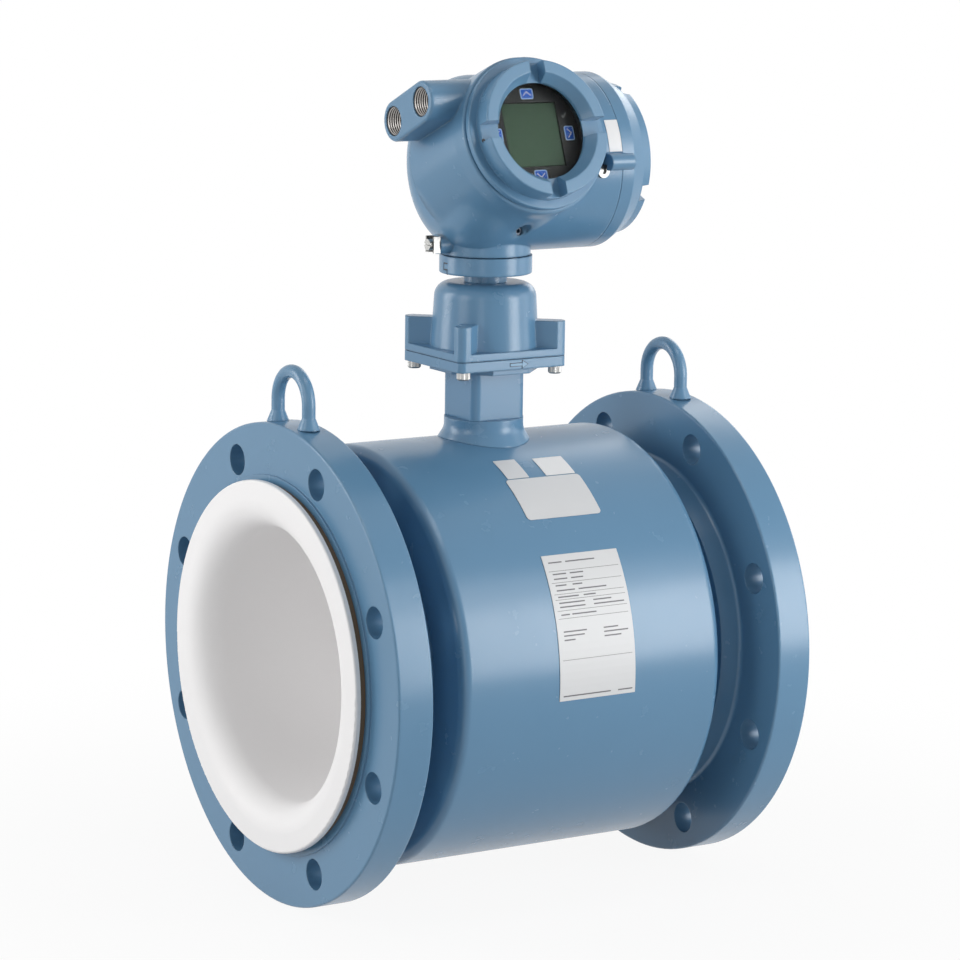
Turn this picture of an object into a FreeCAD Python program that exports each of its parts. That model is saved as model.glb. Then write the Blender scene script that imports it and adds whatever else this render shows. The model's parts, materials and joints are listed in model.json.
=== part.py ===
import FreeCAD
import Part
import os
import re
import Sketcher

Vector = FreeCAD.Vector
Rotation = FreeCAD.Rotation

# Electromagnetic flow meter for an 8 inch class 150 pipeline, with a transmitter head on a neck.
# Origin: centre of the bore, halfway between the flanges. +X is the direction of flow,
# -Y is the side that the display looks to, +Z is up. Millimetres and degrees.

doc = FreeCAD.newDocument("flow_meter")
sheet = doc.addObject("Spreadsheet::Sheet", "Sizes")

SIZES = {
    # pipe, flanges and liner
    "bolt_face_x": (169.5, "bolt face of each flange, from the middle"),
    "flange_plate": (27.0, "thickness of the flange plate without its raised face"),
    "flange_r": (171.45, "outer radius of the flange"),
    "raised_face_in": (36.5, "raised face inside the flange rim"),
    "raised_face_up": (1.6, "height of the raised face"),
    "bolt_circle_in": (22.225, "bolt circle inside the flange rim"),
    "bolt_hole_r": (11.1, "radius of a bolt hole"),
    "bolt_count": (8, "bolt holes in a flange"),
    "flange_fit": (0.25, "room between flange and tube"),
    "hub_wall": (13.2, "wall of the slip-on hub at its end"),
    "hub_rise": (2.5, "rise of the hub towards the flange plate"),
    "hub_through": (44.5, "length through the hub from the raised face"),
    "hub_fillet": (3.0, "fillet between hub and plate"),
    "flange_bevel": (1.5, "bevel on the rim of a flange"),
    "tube_r": (109.55, "outer radius of the flow tube"),
    "tube_wall": (8.18, "wall of the flow tube"),
    "tube_short": (0.5, "how far the tube's end lies behind the raised face"),
    "tube_lead": (6.0, "length of the bevel inside each end of the tube"),
    "tube_lead_rise": (2.8, "rise of the bevel inside each end of the tube"),
    "liner_fit": (0.2, "room between liner and tube"),
    "liner_wall": (3.7, "wall of the liner"),
    "liner_proud": (10.5, "liner flare beyond the bolt face"),
    "flare_wall": (4.0, "thickness of the liner flare"),
    "flare_in": (3.25, "liner flare inside the raised face's rim"),
    "flare_entry": (15.0, "radius of the liner's rounded entry"),
    "flare_edge": (1.5, "rounding of the flare's rim"),
    "spacer_in": (5.65, "backing ring inside the raised face's rim"),
    "spacer_step": (3.2, "backing ring's bore outside the tube's bore"),
    "spacer_room": (1.8, "room between the liner's bend and the backing ring"),
    # coil housing and what it holds
    "shell_r": (151.0, "outer radius of the coil housing"),
    "shell_wall": (3.0, "wall of the coil housing"),
    "shell_half": (107.0, "half length of the coil housing"),
    "cap_wall": (5.0, "thickness of the housing's end caps"),
    "shell_round": (7.0, "rounding at the housing's ends"),
    "cap_fit": (0.3, "room between an end cap and the tube"),
    "wire_hole_r": (16.0, "hole for the wires in the top of the housing"),
    "pole_wall": (8.0, "thickness of a pole piece"),
    "pole_x": (84.0, "pole piece along the tube"),
    "pole_y": (118.0, "pole piece across the tube"),
    "coil_wall": (12.0, "thickness of a saddle coil"),
    "coil_band": (20.0, "width of the winding"),
    "coil_fit": (0.6, "room between winding and pole piece"),
    "return_wall": (2.5, "thickness of the flux return band"),
    "return_width": (60.0, "width of the flux return band"),
    "inner_fit": (0.3, "room between curved parts round the tube"),
    "electrode_r": (5.0, "radius of an electrode's head"),
    "electrode_stem_r": (3.0, "radius of an electrode's stem"),
    "electrode_sunk": (0.2, "electrode face below the liner's bore"),
    "electrode_seal_r": (9.0, "radius of an electrode's insulator"),
    "electrode_seal_up": (2.5, "insulator beyond the tube"),
    "electrode_fit": (0.15, "room round an electrode"),
    "electrode_nut": (4.5, "height of an electrode's nut"),
    "electrode_nut_r": (6.0, "radius over the corners of an electrode's nut"),
    "electrode_end": (1.0, "stem beyond the nut"),
    # lifting eyes
    "eye_rod_r": (4.75, "radius of the lifting eye's rod"),
    "eye_pitch": (44.0, "distance between the legs of a lifting eye"),
    "eye_top": (41.2, "top of a lifting eye above the flange rim"),
    "eye_foot_r": (8.0, "radius of the weld at a leg's foot"),
    "eye_foot": (8.0, "height of the weld at a leg's foot"),
    # neck
    "collar_r": (28.5, "radius of the weld-on collar"),
    "collar_top": (14.4, "top of the collar above the housing"),
    "collar_flare_r": (35.5, "radius of the collar's foot"),
    "collar_flare": (6.5, "start of the flare above the housing"),
    "collar_foot": (5.0, "end of the flare below the top of the housing"),
    "column_side": (44.0, "side of the square column"),
    "column_round": (6.0, "rounding of the column's corners"),
    "column_wall": (4.0, "wall of the column"),
    "column_up": (34.4, "height of the column"),
    "plate_x": (89.5, "neck plates along the pipe"),
    "plate_y": (80.0, "neck plates across the pipe"),
    "plate_round": (5.0, "rounding of the plates' corners"),
    "lower_plate": (7.2, "thickness of the lower plate"),
    "octagon_r": (39.5, "octagonal boss under the lower plate, over its corners"),
    "octagon_up": (4.0, "height of the octagonal boss"),
    "gasket": (0.5, "thickness of the gasket between the plates"),
    "gasket_in": (1.2, "gasket inside the plates' edge"),
    "upper_plate": (5.1, "thickness of the upper plate"),
    "rib_up": (19.6, "height of the corner ribs above the upper plate"),
    "rib_wall": (12.0, "thickness of a corner rib"),
    "bell_r": (38.7, "radius of the bell at its foot"),
    "bell_lean": (2.7, "how much narrower the bell is below its rounding"),
    "bell_up": (45.9, "height of the bell above the upper plate"),
    "bell_round": (10.5, "rounding on top of the bell"),
    "bell_wall": (4.5, "wall of the bell"),
    "screw_edge_x": (6.55, "neck screws from the plates' edge, along the pipe"),
    "screw_edge_y": (6.2, "neck screws from the plates' edge, across the pipe"),
    "screw_r": (2.5, "radius of a neck screw"),
    "screw_head_r": (4.85, "radius of its head"),
    "screw_head": (5.8, "height of its head"),
    "screw_socket_r": (2.4, "hexagon socket, over its corners"),
    "screw_grip": (3.5, "screw in the upper plate"),
    "screw_fit": (0.2, "room round a screw"),
    "spigot_r": (19.0, "radius of the spigot that the head turns on"),
    "spigot_wall": (6.0, "wall of the spigot"),
    "spigot_up": (37.0, "spigot above the bell"),
    "band_r": (33.2, "outer radius of the joint band"),
    "band_gap": (6.5, "joint band above the bell"),
    "band_up": (13.0, "height of the joint band"),
    "band_slot": (0.9, "width and depth of the joint band's cut"),
    "tongue_wide": (5.0, "width of the tongue in the joint band"),
    "tongue_high": (5.4, "height of the tongue in the joint band"),
    "tongue_up": (3.0, "foot of the tongue above the band's foot"),
    "tongue_y": (0.4, "middle of the tongue, across the pipe"),
    "board_r": (26.0, "radius of the connection board in the bell"),
    "board_up": (8.0, "height of the connection board"),
    "board_hole_r": (7.0, "wire hole in the connection board"),
    "arrow_long": (11.0, "length of the flow arrow"),
    "arrow_stem": (1.9, "width of the flow arrow's stem"),
    "arrow_head": (4.4, "width of the flow arrow's head"),
    "arrow_up": (0.5, "how far the flow arrow stands out"),
    "arrow_x": (12.0, "tail of the flow arrow from the neck's axis"),
    # head
    "turn_gap": (0.6, "gap between joint band and head"),
    "turn_fit": (0.35, "room round the spigot in the head"),
    "head_collar_r": (32.0, "radius of the head's collar"),
    "head_collar_up": (50.0, "height of the head's collar into the casting"),
    "socket_up": (18.5, "depth of the socket for the spigot"),
    "wire_way_r": (8.0, "wire way from the socket to the front chamber"),
    "wire_way_up": (80.0, "height of the wire way"),
    "display_up": (67.4, "display axis above the head's foot, on the neck axis"),
    "display_x": (3.0, "display axis beside the neck axis, along the pipe"),
    "display_tilt": (20.8, "tilt of the display axis above the horizontal"),
    "front_r": (56.5, "outer radius of the front barrel"),
    "front_face_s": (60.0, "front barrel's face along the display axis"),
    "front_back_s": (14.0, "front barrel's back end behind the neck axis"),
    "front_flare": (2.0, "how much wider the front barrel is at its back end"),
    "front_back_drop": (3.0, "drop of the front barrel's back end"),
    "front_straight": (14.0, "straight stretch of the front barrel"),
    "front_wall": (9.15, "wall of the front barrel"),
    "front_floor_s": (10.0, "floor of the front chamber"),
    "front_edge": (1.5, "rounding of the front barrel's edge"),
    "skirt_up": (9.4, "start of the casting's skirt above the head's foot"),
    "skirt_back": (2.0, "skirt behind the straight stretch of the front barrel"),
    "rear_up": (63.8, "terminal barrel's axis above the head's foot"),
    "rear_r": (63.0, "outer radius of the terminal barrel"),
    "rear_face_x": (73.7, "face of the terminal barrel"),
    "rear_blind_x": (41.0, "closed end of the terminal barrel"),
    "rear_blind_round": (28.0, "rounding of the closed end"),
    "rear_wall": (9.0, "wall of the terminal barrel"),
    "rear_floor_x": (52.0, "floor of the terminal chamber"),
    "entry_face_x": (71.2, "face of the conduit entries"),
    "entry_pitch": (40.0, "distance between the conduit entries"),
    "entry_tilt": (24.0, "slope of the line through the entries"),
    "entry_y": (-8.2, "middle of the entries, across"),
    "entry_up": (39.8, "middle of the entries above the terminal barrel's axis"),
    "entry_wall": (4.0, "wall round a conduit entry"),
    "entry_r": (10.5, "radius of a conduit entry"),
    "entry_deep": (24.0, "length of a conduit entry"),
    "entry_wire_r": (7.0, "wire way behind a conduit entry"),
    "entry_edge": (2.0, "rounding of the entries' face"),
    "ground_up": (8.4, "ground screw above the head's foot"),
    "ground_boss_r": (7.0, "radius of the ground screw's boss"),
    "ground_boss_x": (41.2, "face of the ground screw's boss"),
    "ground_screw_r": (2.0, "radius of the ground screw"),
    "ground_head_r": (4.0, "radius of the ground screw's head"),
    "ground_head": (6.0, "height of the ground screw's head"),
    "ground_deep": (8.0, "ground screw in its boss"),
    "clamp_wall": (1.6, "thickness of the ground clamp"),
    "clamp_side": (11.6, "width of the ground clamp"),
    "clamp_deep": (5.4, "length of the ground clamp's cheeks"),
    "lock_x": (57.0, "cover lock screw along the terminal barrel"),
    "lock_angle": (1.9, "cover lock screw below the barrel's axis"),
    "lock_r": (4.6, "radius of the cover lock screw"),
    "lock_hole_r": (1.9, "socket of the cover lock screw"),
    "lock_up": (1.8, "cover lock screw beyond the barrel"),
    "lock_deep": (4.0, "seat of the cover lock screw"),
    "pin_boss_r": (5.8, "radius of the cover pin's boss"),
    "pin_boss_x": (57.5, "start of the cover pin's boss"),
    "pin_boss_end": (77.0, "end of the cover pin's boss"),
    "pin_angle": (3.8, "cover pin's boss above the barrel's axis"),
    "swivel_up": (20.0, "swivel lock screw above the head's foot"),
    "swivel_x": (0.5, "swivel lock screw beside the neck axis"),
    "swivel_r": (3.0, "radius of the swivel lock screw"),
    "swivel_sunk": (2.0, "swivel lock screw below its seat"),
    "swivel_seat_r": (6.0, "radius of the swivel screw's spot face"),
    "swivel_seat_y": (44.0, "spot face of the swivel screw, from the neck's axis"),
    # covers
    "thread_fit": (0.35, "room round a cover's thread"),
    "cover_gap": (0.3, "gap between a closed cover and its face"),
    "front_plug": (16.0, "length of the front cover's thread"),
    "front_cup_wall": (6.0, "front cover between its thread and its inside"),
    "front_rim_in": (1.7, "front cover's rim inside the barrel"),
    "front_rim": (5.2, "thickness of the front cover's rim"),
    "castle_ledge": (6.0, "ledge between rim and castle ring"),
    "castle_lean": (0.3, "how much narrower the castle ring is at its top"),
    "castle_wall": (8.8, "wall of the castle ring at its top"),
    "castle_up": (14.5, "height of the castle ring above the rim"),
    "castle_edge": (1.0, "rounding of the castle ring"),
    "pin_hole_r": (1.3, "radius of the small hole in the castle ring's side"),
    "pin_hole_up": (6.7, "small hole above the front cover's rim"),
    "pin_hole_drop": (5.0, "small hole below the display's centre"),
    "lip_step": (5.2, "lip in front of the glass, inside the castle ring"),
    "lip_sunk": (8.0, "lip below the castle ring's top"),
    "lip_wall": (2.6, "thickness of the lip"),
    "notch_width": (12.0, "width of a notch in a castle ring"),
    "notch_deep": (10.0, "depth of a notch in the front castle ring"),
    "glass_fit": (0.4, "room round the window"),
    "glass_wall": (6.0, "thickness of the window"),
    "seal_wall": (0.6, "thickness of the window's seal"),
    "retainer_wall": (1.8, "thickness of the window's retaining ring"),
    "retainer_band": (2.6, "width of the retaining ring"),
    "ring_r": (1.0, "section radius of a cover's O-ring"),
    "ring_fit": (0.35, "room round an O-ring"),
    "rear_plug": (13.0, "length of the rear cover's thread"),
    "rear_skirt": (10.0, "straight part of the rear cover"),
    "rear_cone_in": (7.5, "how much narrower the rear cover's cone ends"),
    "rear_cone": (13.0, "length of the rear cover's cone"),
    "rear_castle_in": (1.4, "rear castle ring inside the cone's end"),
    "rear_castle_wall": (9.6, "wall of the rear castle ring"),
    "rear_castle_up": (7.0, "height of the rear castle ring"),
    "rear_notch_deep": (6.5, "depth of a notch in the rear castle ring"),
    "rear_notch_turn": (22.0, "turn of the rear cover's notches"),
    "rear_cup_wall": (6.15, "rear cover between its thread and its inside"),
    "rear_cover_wall": (5.0, "thickness of the rear cover's end wall"),
    # inside the head
    "stack_fit": (3.35, "room round the electronics module"),
    "stack_top_s": (36.0, "top of the electronics module"),
    "display_fit": (2.6, "room round the display module"),
    "display_face_s": (60.2, "face of the display module"),
    "lcd_x": (43.4, "width of the display panel"),
    "lcd_y": (45.0, "height of the display panel"),
    "lcd_wall": (1.2, "thickness of the display panel"),
    "lcd_sunk": (0.8, "display panel below the module's face"),
    "lcd_fit": (0.8, "frame step round the display panel"),
    "key_long": (10.4, "long side of a display key"),
    "key_short": (7.6, "short side of a display key"),
    "key_up": (0.4, "height of a display key"),
    "key_round": (1.4, "rounding of a display key"),
    "key_in": (9.0, "display keys inside the display module's rim"),
    "terminal_fit": (7.5, "room round the terminal block"),
    "terminal_up": (7.0, "height of the terminal block"),
    "terminal_flat": (20.0, "flat on top of the terminal block above its centre"),
    "terminal_pitch": (10.0, "distance between terminal screws"),
    "terminal_screw_r": (3.0, "radius of a terminal screw"),
    "terminal_screw_up": (2.0, "height of a terminal screw"),
    "terminal_count": (7, "terminal screws in a row"),
}

for row, (alias, (value, meaning)) in enumerate(SIZES.items(), 1):
    sheet.set("A%d" % row, meaning)
    sheet.set("B%d" % row, str(value))
    sheet.setAlias("B%d" % row, alias)
doc.recompute()

WORD = re.compile(r"[a-z][a-z0-9_]*")
pieces = []


def formula(text):
    """An expression on the sheet's names, ready for setExpression."""
    return WORD.sub(lambda word: "Sizes." + word.group() if word.group() in SIZES else word.group(),
                    str(text))


def number(text):
    """The value that such an expression has now."""
    return float(sheet.evalExpression(formula(text)))


def seat(thing, at=(0, 0, 0), axis=Vector(0, 0, 1), turn=0):
    """Place an object, with its position and turn tied to the sheet."""
    thing.Placement = FreeCAD.Placement(Vector(*[number(value) for value in at]),
                                        Rotation(axis, number(turn)))
    for letter, value in zip("xyz", at):
        thing.setExpression(".Placement.Base." + letter, formula(value))
    if str(turn) != "0":
        thing.setExpression(".Placement.Rotation.Angle", formula(turn))
    return thing


def piece(thing):
    """Name an object as a finished sub-part of the meter."""
    thing.Label = thing.Name
    pieces.append(thing)
    return thing


# Each way that a piece lies: the axis and the turn that bring its own Z there.
UPRIGHT = {"axis": Vector(0, 0, 1), "turn": 0}
ALONG = {"axis": Vector(0, 1, 0), "turn": 90}
AGAINST = {"axis": Vector(0, 1, 0), "turn": -90}
TO_FRONT = {"axis": Vector(1, 0, 0), "turn": 90}
TO_BACK = {"axis": Vector(1, 0, 0), "turn": -90}
DISPLAY = {"axis": Vector(1, 0, 0), "turn": "90 - display_tilt"}


def on_display(x, y, s):
    """A point given across, up and along the display axis."""
    return ("display_x + (%s)" % x, "(%s) * sin(display_tilt) - (%s) * cos(display_tilt)" % (y, s),
            "%s + (%s) * cos(display_tilt) + (%s) * sin(display_tilt)" % (DISPLAY_Z, y, s))


def solid(kind, name, sizes, at=(0, 0, 0), axis=Vector(0, 0, 1), turn=0):
    """A Part primitive whose properties follow the sheet."""
    thing = doc.addObject("Part::" + kind, name)
    for prop, value in sizes.items():
        thing.setExpression(prop, formula(value))
    return seat(thing, at, axis, turn)


def rod(name, radius, length, at=(0, 0, 0), axis=Vector(0, 0, 1), turn=0):
    return solid("Cylinder", name, {"Radius": radius, "Height": length}, at, axis, turn)


def block(name, x, y, z, at=(0, 0, 0)):
    """A box centred on its place in X and Y and standing on it in Z."""
    corner = ("(%s) - (%s) / 2" % (at[0], x), "(%s) - (%s) / 2" % (at[1], y), at[2])
    return solid("Box", name, {"Length": x, "Width": y, "Height": z}, corner)


def turned_bar(name, length, width, height, lean, level="0"):
    """A box centred on its local Z axis and turned round it."""
    bar = solid("Box", name, {"Length": length, "Width": width, "Height": height})
    corner = ("-(%s) / 2 * cos(%s) + (%s) / 2 * sin(%s)" % (length, lean, width, lean),
              "-(%s) / 2 * sin(%s) - (%s) / 2 * cos(%s)" % (length, lean, width, lean), level)
    return seat(bar, corner, Vector(0, 0, 1), lean)


def fused(name, things):
    thing = doc.addObject("Part::MultiFuse", name)
    thing.Shapes = things
    thing.Refine = True
    return thing


def common(name, things):
    thing = doc.addObject("Part::MultiCommon", name)
    thing.Shapes = things
    return thing


def cut(name, base, tools):
    """Take one tool, or several fused into one, from a base."""
    thing = doc.addObject("Part::Cut", name)
    thing.Base = base
    thing.Tool = tools[0] if len(tools) == 1 else fused(name + "_tools", tools)
    thing.Refine = True
    return thing


def rounded(name, base, radius, chosen):
    """Fillet the edges that a test chooses."""
    doc.recompute()
    thing = doc.addObject("Part::Fillet", name)
    thing.Base = base
    size = number(radius)
    edges = [place for place, edge in enumerate(base.Shape.Edges, 1) if chosen(edge)]
    thing.Edges = [(place, size, size) for place in edges]
    return thing


def is_upright(edge):
    ends = edge.Vertexes
    if len(ends) != 2 or not isinstance(edge.Curve, Part.Line):
        return False
    return abs(ends[0].Z - ends[1].Z) > 0.99 * edge.Length


def near(value, target):
    return abs(value - target) < 0.01


def polygon(sketch, outline):
    """Draw a closed outline whose corners are tied to the sheet."""
    spots = [Vector(number(across), number(up), 0) for across, up in outline]
    count = len(spots)
    for i in range(count):
        sketch.addGeometry(Part.LineSegment(spots[i], spots[(i + 1) % count]), False)
    for i in range(count):
        sketch.addConstraint(Sketcher.Constraint("Coincident", i, 2, (i + 1) % count, 1))
    for i, (across, up) in enumerate(outline):
        for kind, value, place, line in (("DistanceX", across, spots[i].x, -2),
                                         ("DistanceY", up, spots[i].y, -1)):
            if place == 0:
                sketch.addConstraint(Sketcher.Constraint("PointOnObject", i, 1, line))
            else:
                mark = sketch.addConstraint(Sketcher.Constraint(kind, -1, 1, i, 1, place))
                sketch.setExpression("Constraints[%d]" % mark, formula(value))


def turned(name, outline, rounds=(), way=UPRIGHT, at=(0, 0, 0)):
    """A body turned round its own Z from an outline of (radius, height) corners.

    rounds holds (radius of the rounding, corners), each corner an (radius, height) pair.
    """
    body = doc.addObject("PartDesign::Body", name)
    sketch = body.newObject("Sketcher::SketchObject", name + "_outline")
    plane = [feature for feature in body.Origin.OriginFeatures if feature.Role == "XZ_Plane"][0]
    sketch.AttachmentSupport = [(plane, "")]
    sketch.MapMode = "FlatFace"
    polygon(sketch, outline)
    turn = body.newObject("PartDesign::Revolution", name + "_turn")
    turn.Profile = sketch
    turn.ReferenceAxis = (sketch, ["V_Axis"])
    turn.Angle = 360
    sketch.Visibility = False
    last = turn
    for step, (size, corners) in enumerate(rounds):
        doc.recompute()
        places = [(number(radius), number(height)) for radius, height in corners]
        edges = []
        for index, edge in enumerate(last.Shape.Edges, 1):
            if isinstance(edge.Curve, Part.Circle):
                if any(near(edge.Curve.Radius, r) and near(edge.Curve.Center.z, z) for r, z in places):
                    edges.append("Edge%d" % index)
        fillet = body.newObject("PartDesign::Fillet", "%s_round_%d" % (name, step))
        fillet.Base = (last, edges)
        fillet.setExpression("Radius", formula(size))
        last = fillet
    body.Tip = last
    seat(body, at, way["axis"], way["turn"])
    return body


# ---- flow tube, flanges and liner ----

RAISED_X = "(bolt_face_x + raised_face_up)"
RAISED_R = "(flange_r - raised_face_in)"
BACK_X = "(bolt_face_x - flange_plate)"
TUBE_IN = "(tube_r - tube_wall)"
TUBE_END = "(bolt_face_x + raised_face_up - tube_short)"
LINER_BORE = "(tube_r - tube_wall - liner_fit - liner_wall)"
LINER_OUT = "(tube_r - tube_wall - liner_fit)"
LINER_END = "(bolt_face_x + liner_proud)"
FLARE_BACK = "(bolt_face_x + liner_proud - flare_wall)"
FLARE_R = "(%s - flare_in)" % RAISED_R
FLANGE_BORE = "(tube_r + flange_fit)"
HUB_R = "(tube_r + flange_fit + hub_wall)"
HUB_ROOT = "(tube_r + flange_fit + hub_wall + hub_rise)"
BOLT_R = "(flange_r - bolt_circle_in)"


def flow_tube():
    lead = "(%s - tube_lead)" % TUBE_END
    mouth = "(%s + tube_lead_rise)" % TUBE_IN
    outline = [(TUBE_IN, "-" + lead), (mouth, "-" + TUBE_END), ("tube_r", "-" + TUBE_END),
               ("tube_r", TUBE_END), (mouth, TUBE_END), (TUBE_IN, lead)]
    tube = turned("flow_tube_wall", outline, way=ALONG)
    across = rod("electrode_holes", "electrode_seal_r + inner_fit", "2 * shell_r", (0, "shell_r", 0),
                 **TO_FRONT)
    piece(cut("flow_tube", tube, [across]))


def liner():
    outline = [(LINER_BORE, "-" + LINER_END), (FLARE_R, "-" + LINER_END), (FLARE_R, "-" + FLARE_BACK),
               (LINER_OUT, "-" + FLARE_BACK), (LINER_OUT, FLARE_BACK), (FLARE_R, FLARE_BACK),
               (FLARE_R, LINER_END), (LINER_BORE, LINER_END)]
    both = ("", "-")
    rounds = [("flare_entry", [(LINER_BORE, sign + LINER_END) for sign in both]),
              ("flare_entry - flare_wall", [(LINER_OUT, sign + FLARE_BACK) for sign in both]),
              ("flare_edge", [(FLARE_R, sign + LINER_END) for sign in both])]
    sleeve = turned("liner_sleeve", outline, rounds, way=ALONG)
    across = rod("liner_holes", "electrode_r + electrode_fit", "2 * shell_r", (0, "shell_r", 0), **TO_FRONT)
    piece(cut("liner", sleeve, [across]))


def flange(side, sign):
    """A slip-on flange with its raised face, hub and bolt holes straddling the upright."""
    def along(text):
        return "%s(%s)" % (sign, text)

    hub_end = "%s - hub_through" % RAISED_X
    outline = [(FLANGE_BORE, along(hub_end)), (HUB_R, along(hub_end)), (HUB_ROOT, along(BACK_X)),
               ("flange_r", along(BACK_X)), ("flange_r", along("bolt_face_x")),
               (RAISED_R, along("bolt_face_x")), (RAISED_R, along(RAISED_X)),
               (FLANGE_BORE, along(RAISED_X))]
    rounds = [("hub_fillet", [(HUB_ROOT, along(BACK_X))]),
              ("flange_bevel", [("flange_r", along(BACK_X)), ("flange_r", along("bolt_face_x"))])]
    disc = turned(side + "_flange_disc", outline, rounds, way=ALONG)
    holes = []
    for index in range(int(number("bolt_count"))):
        angle = "360 / bolt_count * %g" % (index + 0.5)
        at = (along("bolt_face_x + flange_plate / 2"),
              "%s * sin(%s)" % (BOLT_R, angle), "%s * cos(%s)" % (BOLT_R, angle))
        way = AGAINST if not sign else ALONG
        holes.append(rod("%s_bolt_hole_%d" % (side, index), "bolt_hole_r", "2 * flange_plate", at, **way))
    piece(cut(side + "_flange", disc, holes))


def flare_ring(side, sign):
    """The backing ring between raised face and liner flare."""
    def along(text):
        return "%s(%s)" % (sign, text)

    rim = "(%s - spacer_in)" % RAISED_R
    bore = "(%s + spacer_step)" % TUBE_IN
    mouth = "(%s + flare_entry - flare_wall + spacer_room)" % LINER_OUT
    outline = [(bore, along(RAISED_X)), (rim, along(RAISED_X)), (rim, along(FLARE_BACK)),
               (mouth, along(FLARE_BACK))]
    piece(turned(side + "_flare_ring", outline, way=ALONG))


def lifting_eye(side, sign):
    """A bent rod welded on a flange rim, with the weld flared round each foot."""
    x = "%s(bolt_face_x - flange_plate / 2)" % sign
    bend_z = "(flange_r + eye_top - eye_rod_r - eye_pitch / 2)"
    foot_z = "(flange_r - eye_rod_r)"
    arch = solid("Torus", side + "_eye_arch", {"Radius1": "eye_pitch / 2", "Radius2": "eye_rod_r"},
                 (x, 0, bend_z), Vector(0, 1, 0), 90)
    above = block(side + "_eye_upper", "eye_pitch", "2 * eye_pitch", "eye_pitch", (x, 0, bend_z))
    parts = [common(side + "_eye_bend", [arch, above])]
    for name, y in (("near", "-eye_pitch / 2"), ("far", "eye_pitch / 2")):
        parts.append(rod("%s_eye_leg_%s" % (side, name), "eye_rod_r", "%s - %s" % (bend_z, foot_z),
                         (x, y, foot_z)))
        parts.append(solid("Cone", "%s_eye_weld_%s" % (side, name),
                           {"Radius1": "eye_foot_r", "Radius2": "eye_rod_r", "Height": "eye_foot"},
                           (x, y, "flange_r - eye_pitch * eye_pitch / 8 / flange_r")))
    rim = rod(side + "_eye_rim", "flange_r", "bolt_face_x", (0 if not sign else "-bolt_face_x", 0, 0),
              **ALONG)
    piece(cut(side + "_lifting_eye", fused(side + "_eye_rod", parts), [rim]))


# ---- coil housing, coils and electrodes ----

def coil_housing():
    bore = "(tube_r + cap_fit)"
    inner = "(shell_r - shell_wall)"
    cap_in = "(shell_half - cap_wall)"
    outline = [(bore, "-shell_half"), ("shell_r", "-shell_half"), ("shell_r", "shell_half"),
               (bore, "shell_half"), (bore, cap_in), (inner, cap_in), (inner, "-" + cap_in), (bore,
                                                                                              "-" + cap_in)]
    rounds = [("shell_round", [("shell_r", "shell_half"), ("shell_r", "-shell_half")]),
              ("shell_round - shell_wall", [(inner, cap_in), (inner, "-" + cap_in)])]
    drum = turned("coil_housing_drum", outline, rounds, way=ALONG)
    hole = rod("coil_housing_hole", "wire_hole_r", "shell_r", (0, 0, "tube_r"))
    piece(cut("coil_housing", drum, [hole]))


POLE_IN = "(tube_r + inner_fit)"
POLE_OUT = "(tube_r + inner_fit + pole_wall)"
COIL_OUT = "(tube_r + inner_fit + coil_wall)"
RETURN_IN = "(tube_r + 2 * inner_fit + coil_wall)"


def saddle(name, inner, outer, footprint):
    """What a footprint keeps of a sleeve round the tube, above or below it."""
    sleeve = cut(name + "_sleeve", rod(name + "_out", outer, "2 * shell_half", ("-shell_half", 0, 0),
                                       **ALONG),
                 [rod(name + "_in", inner, "3 * shell_half", ("-1.5 * shell_half", 0, 0), **ALONG)])
    return common(name, [sleeve, footprint])


def magnets():
    for side, level in (("upper", "0"), ("lower", "-shell_r")):
        pole = block(side + "_pole_mark", "pole_x", "pole_y", "shell_r", (0, 0, level))
        piece(saddle(side + "_pole_piece", POLE_IN, POLE_OUT, pole))
        window = block(side + "_coil_window", "pole_x + 2 * coil_fit", "pole_y + 2 * coil_fit",
                       "2 * shell_r",
                       (0, 0, "-shell_r"))
        rim = block(side + "_coil_rim", "pole_x + 2 * coil_fit + 2 * coil_band",
                    "pole_y + 2 * coil_fit + 2 * coil_band", "shell_r", (0, 0, level))
        rim = rounded(side + "_coil_corners", rim, "coil_band", is_upright)
        winding = cut(side + "_coil_mark", rim, [window])
        piece(saddle(side + "_coil", POLE_IN, COIL_OUT, winding))


def flux_return():
    half = "(return_width / 2)"
    outer = "(%s + return_wall)" % RETURN_IN
    outline = [(RETURN_IN, "-" + half), (outer, "-" + half), (outer, half), (RETURN_IN, half)]
    piece(turned("flux_return_band", outline, way=ALONG))


STEM_END = "(tube_r + electrode_seal_up + electrode_nut + electrode_end)"


def electrodes():
    seal_top = "(tube_r + electrode_seal_up)"
    nuts = []
    for side, way in (("near", TO_FRONT), ("far", TO_BACK)):
        head = [(0, "%s + electrode_sunk" % LINER_BORE), ("electrode_r", "%s + electrode_sunk" % LINER_BORE),
                ("electrode_r", LINER_OUT), ("electrode_stem_r", LINER_OUT), ("electrode_stem_r", STEM_END),
                (0, STEM_END)]
        piece(turned(side + "_electrode", head, way=way))
        bore = "(electrode_stem_r + electrode_fit)"
        bush = [(bore, TUBE_IN), ("electrode_seal_r", TUBE_IN), ("electrode_seal_r", seal_top),
                (bore, seal_top)]
        piece(turned(side + "_electrode_insulator", bush, way=way))
        sign = "-" if side == "near" else ""
        at = (0, sign + seal_top, 0)
        nut = solid("Prism", side + "_nut_blank", {"Circumradius": "electrode_nut_r",
                                                   "Height": "electrode_nut"},
                    at, **way)
        nuts.append(cut(side + "_nut", nut, [rod(side + "_nut_hole", bore, "2 * electrode_nut", at, **way)]))
    grouped = doc.addObject("Part::Compound", "electrode_nuts")
    grouped.Links = nuts
    piece(grouped)


# ---- neck ----

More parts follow.
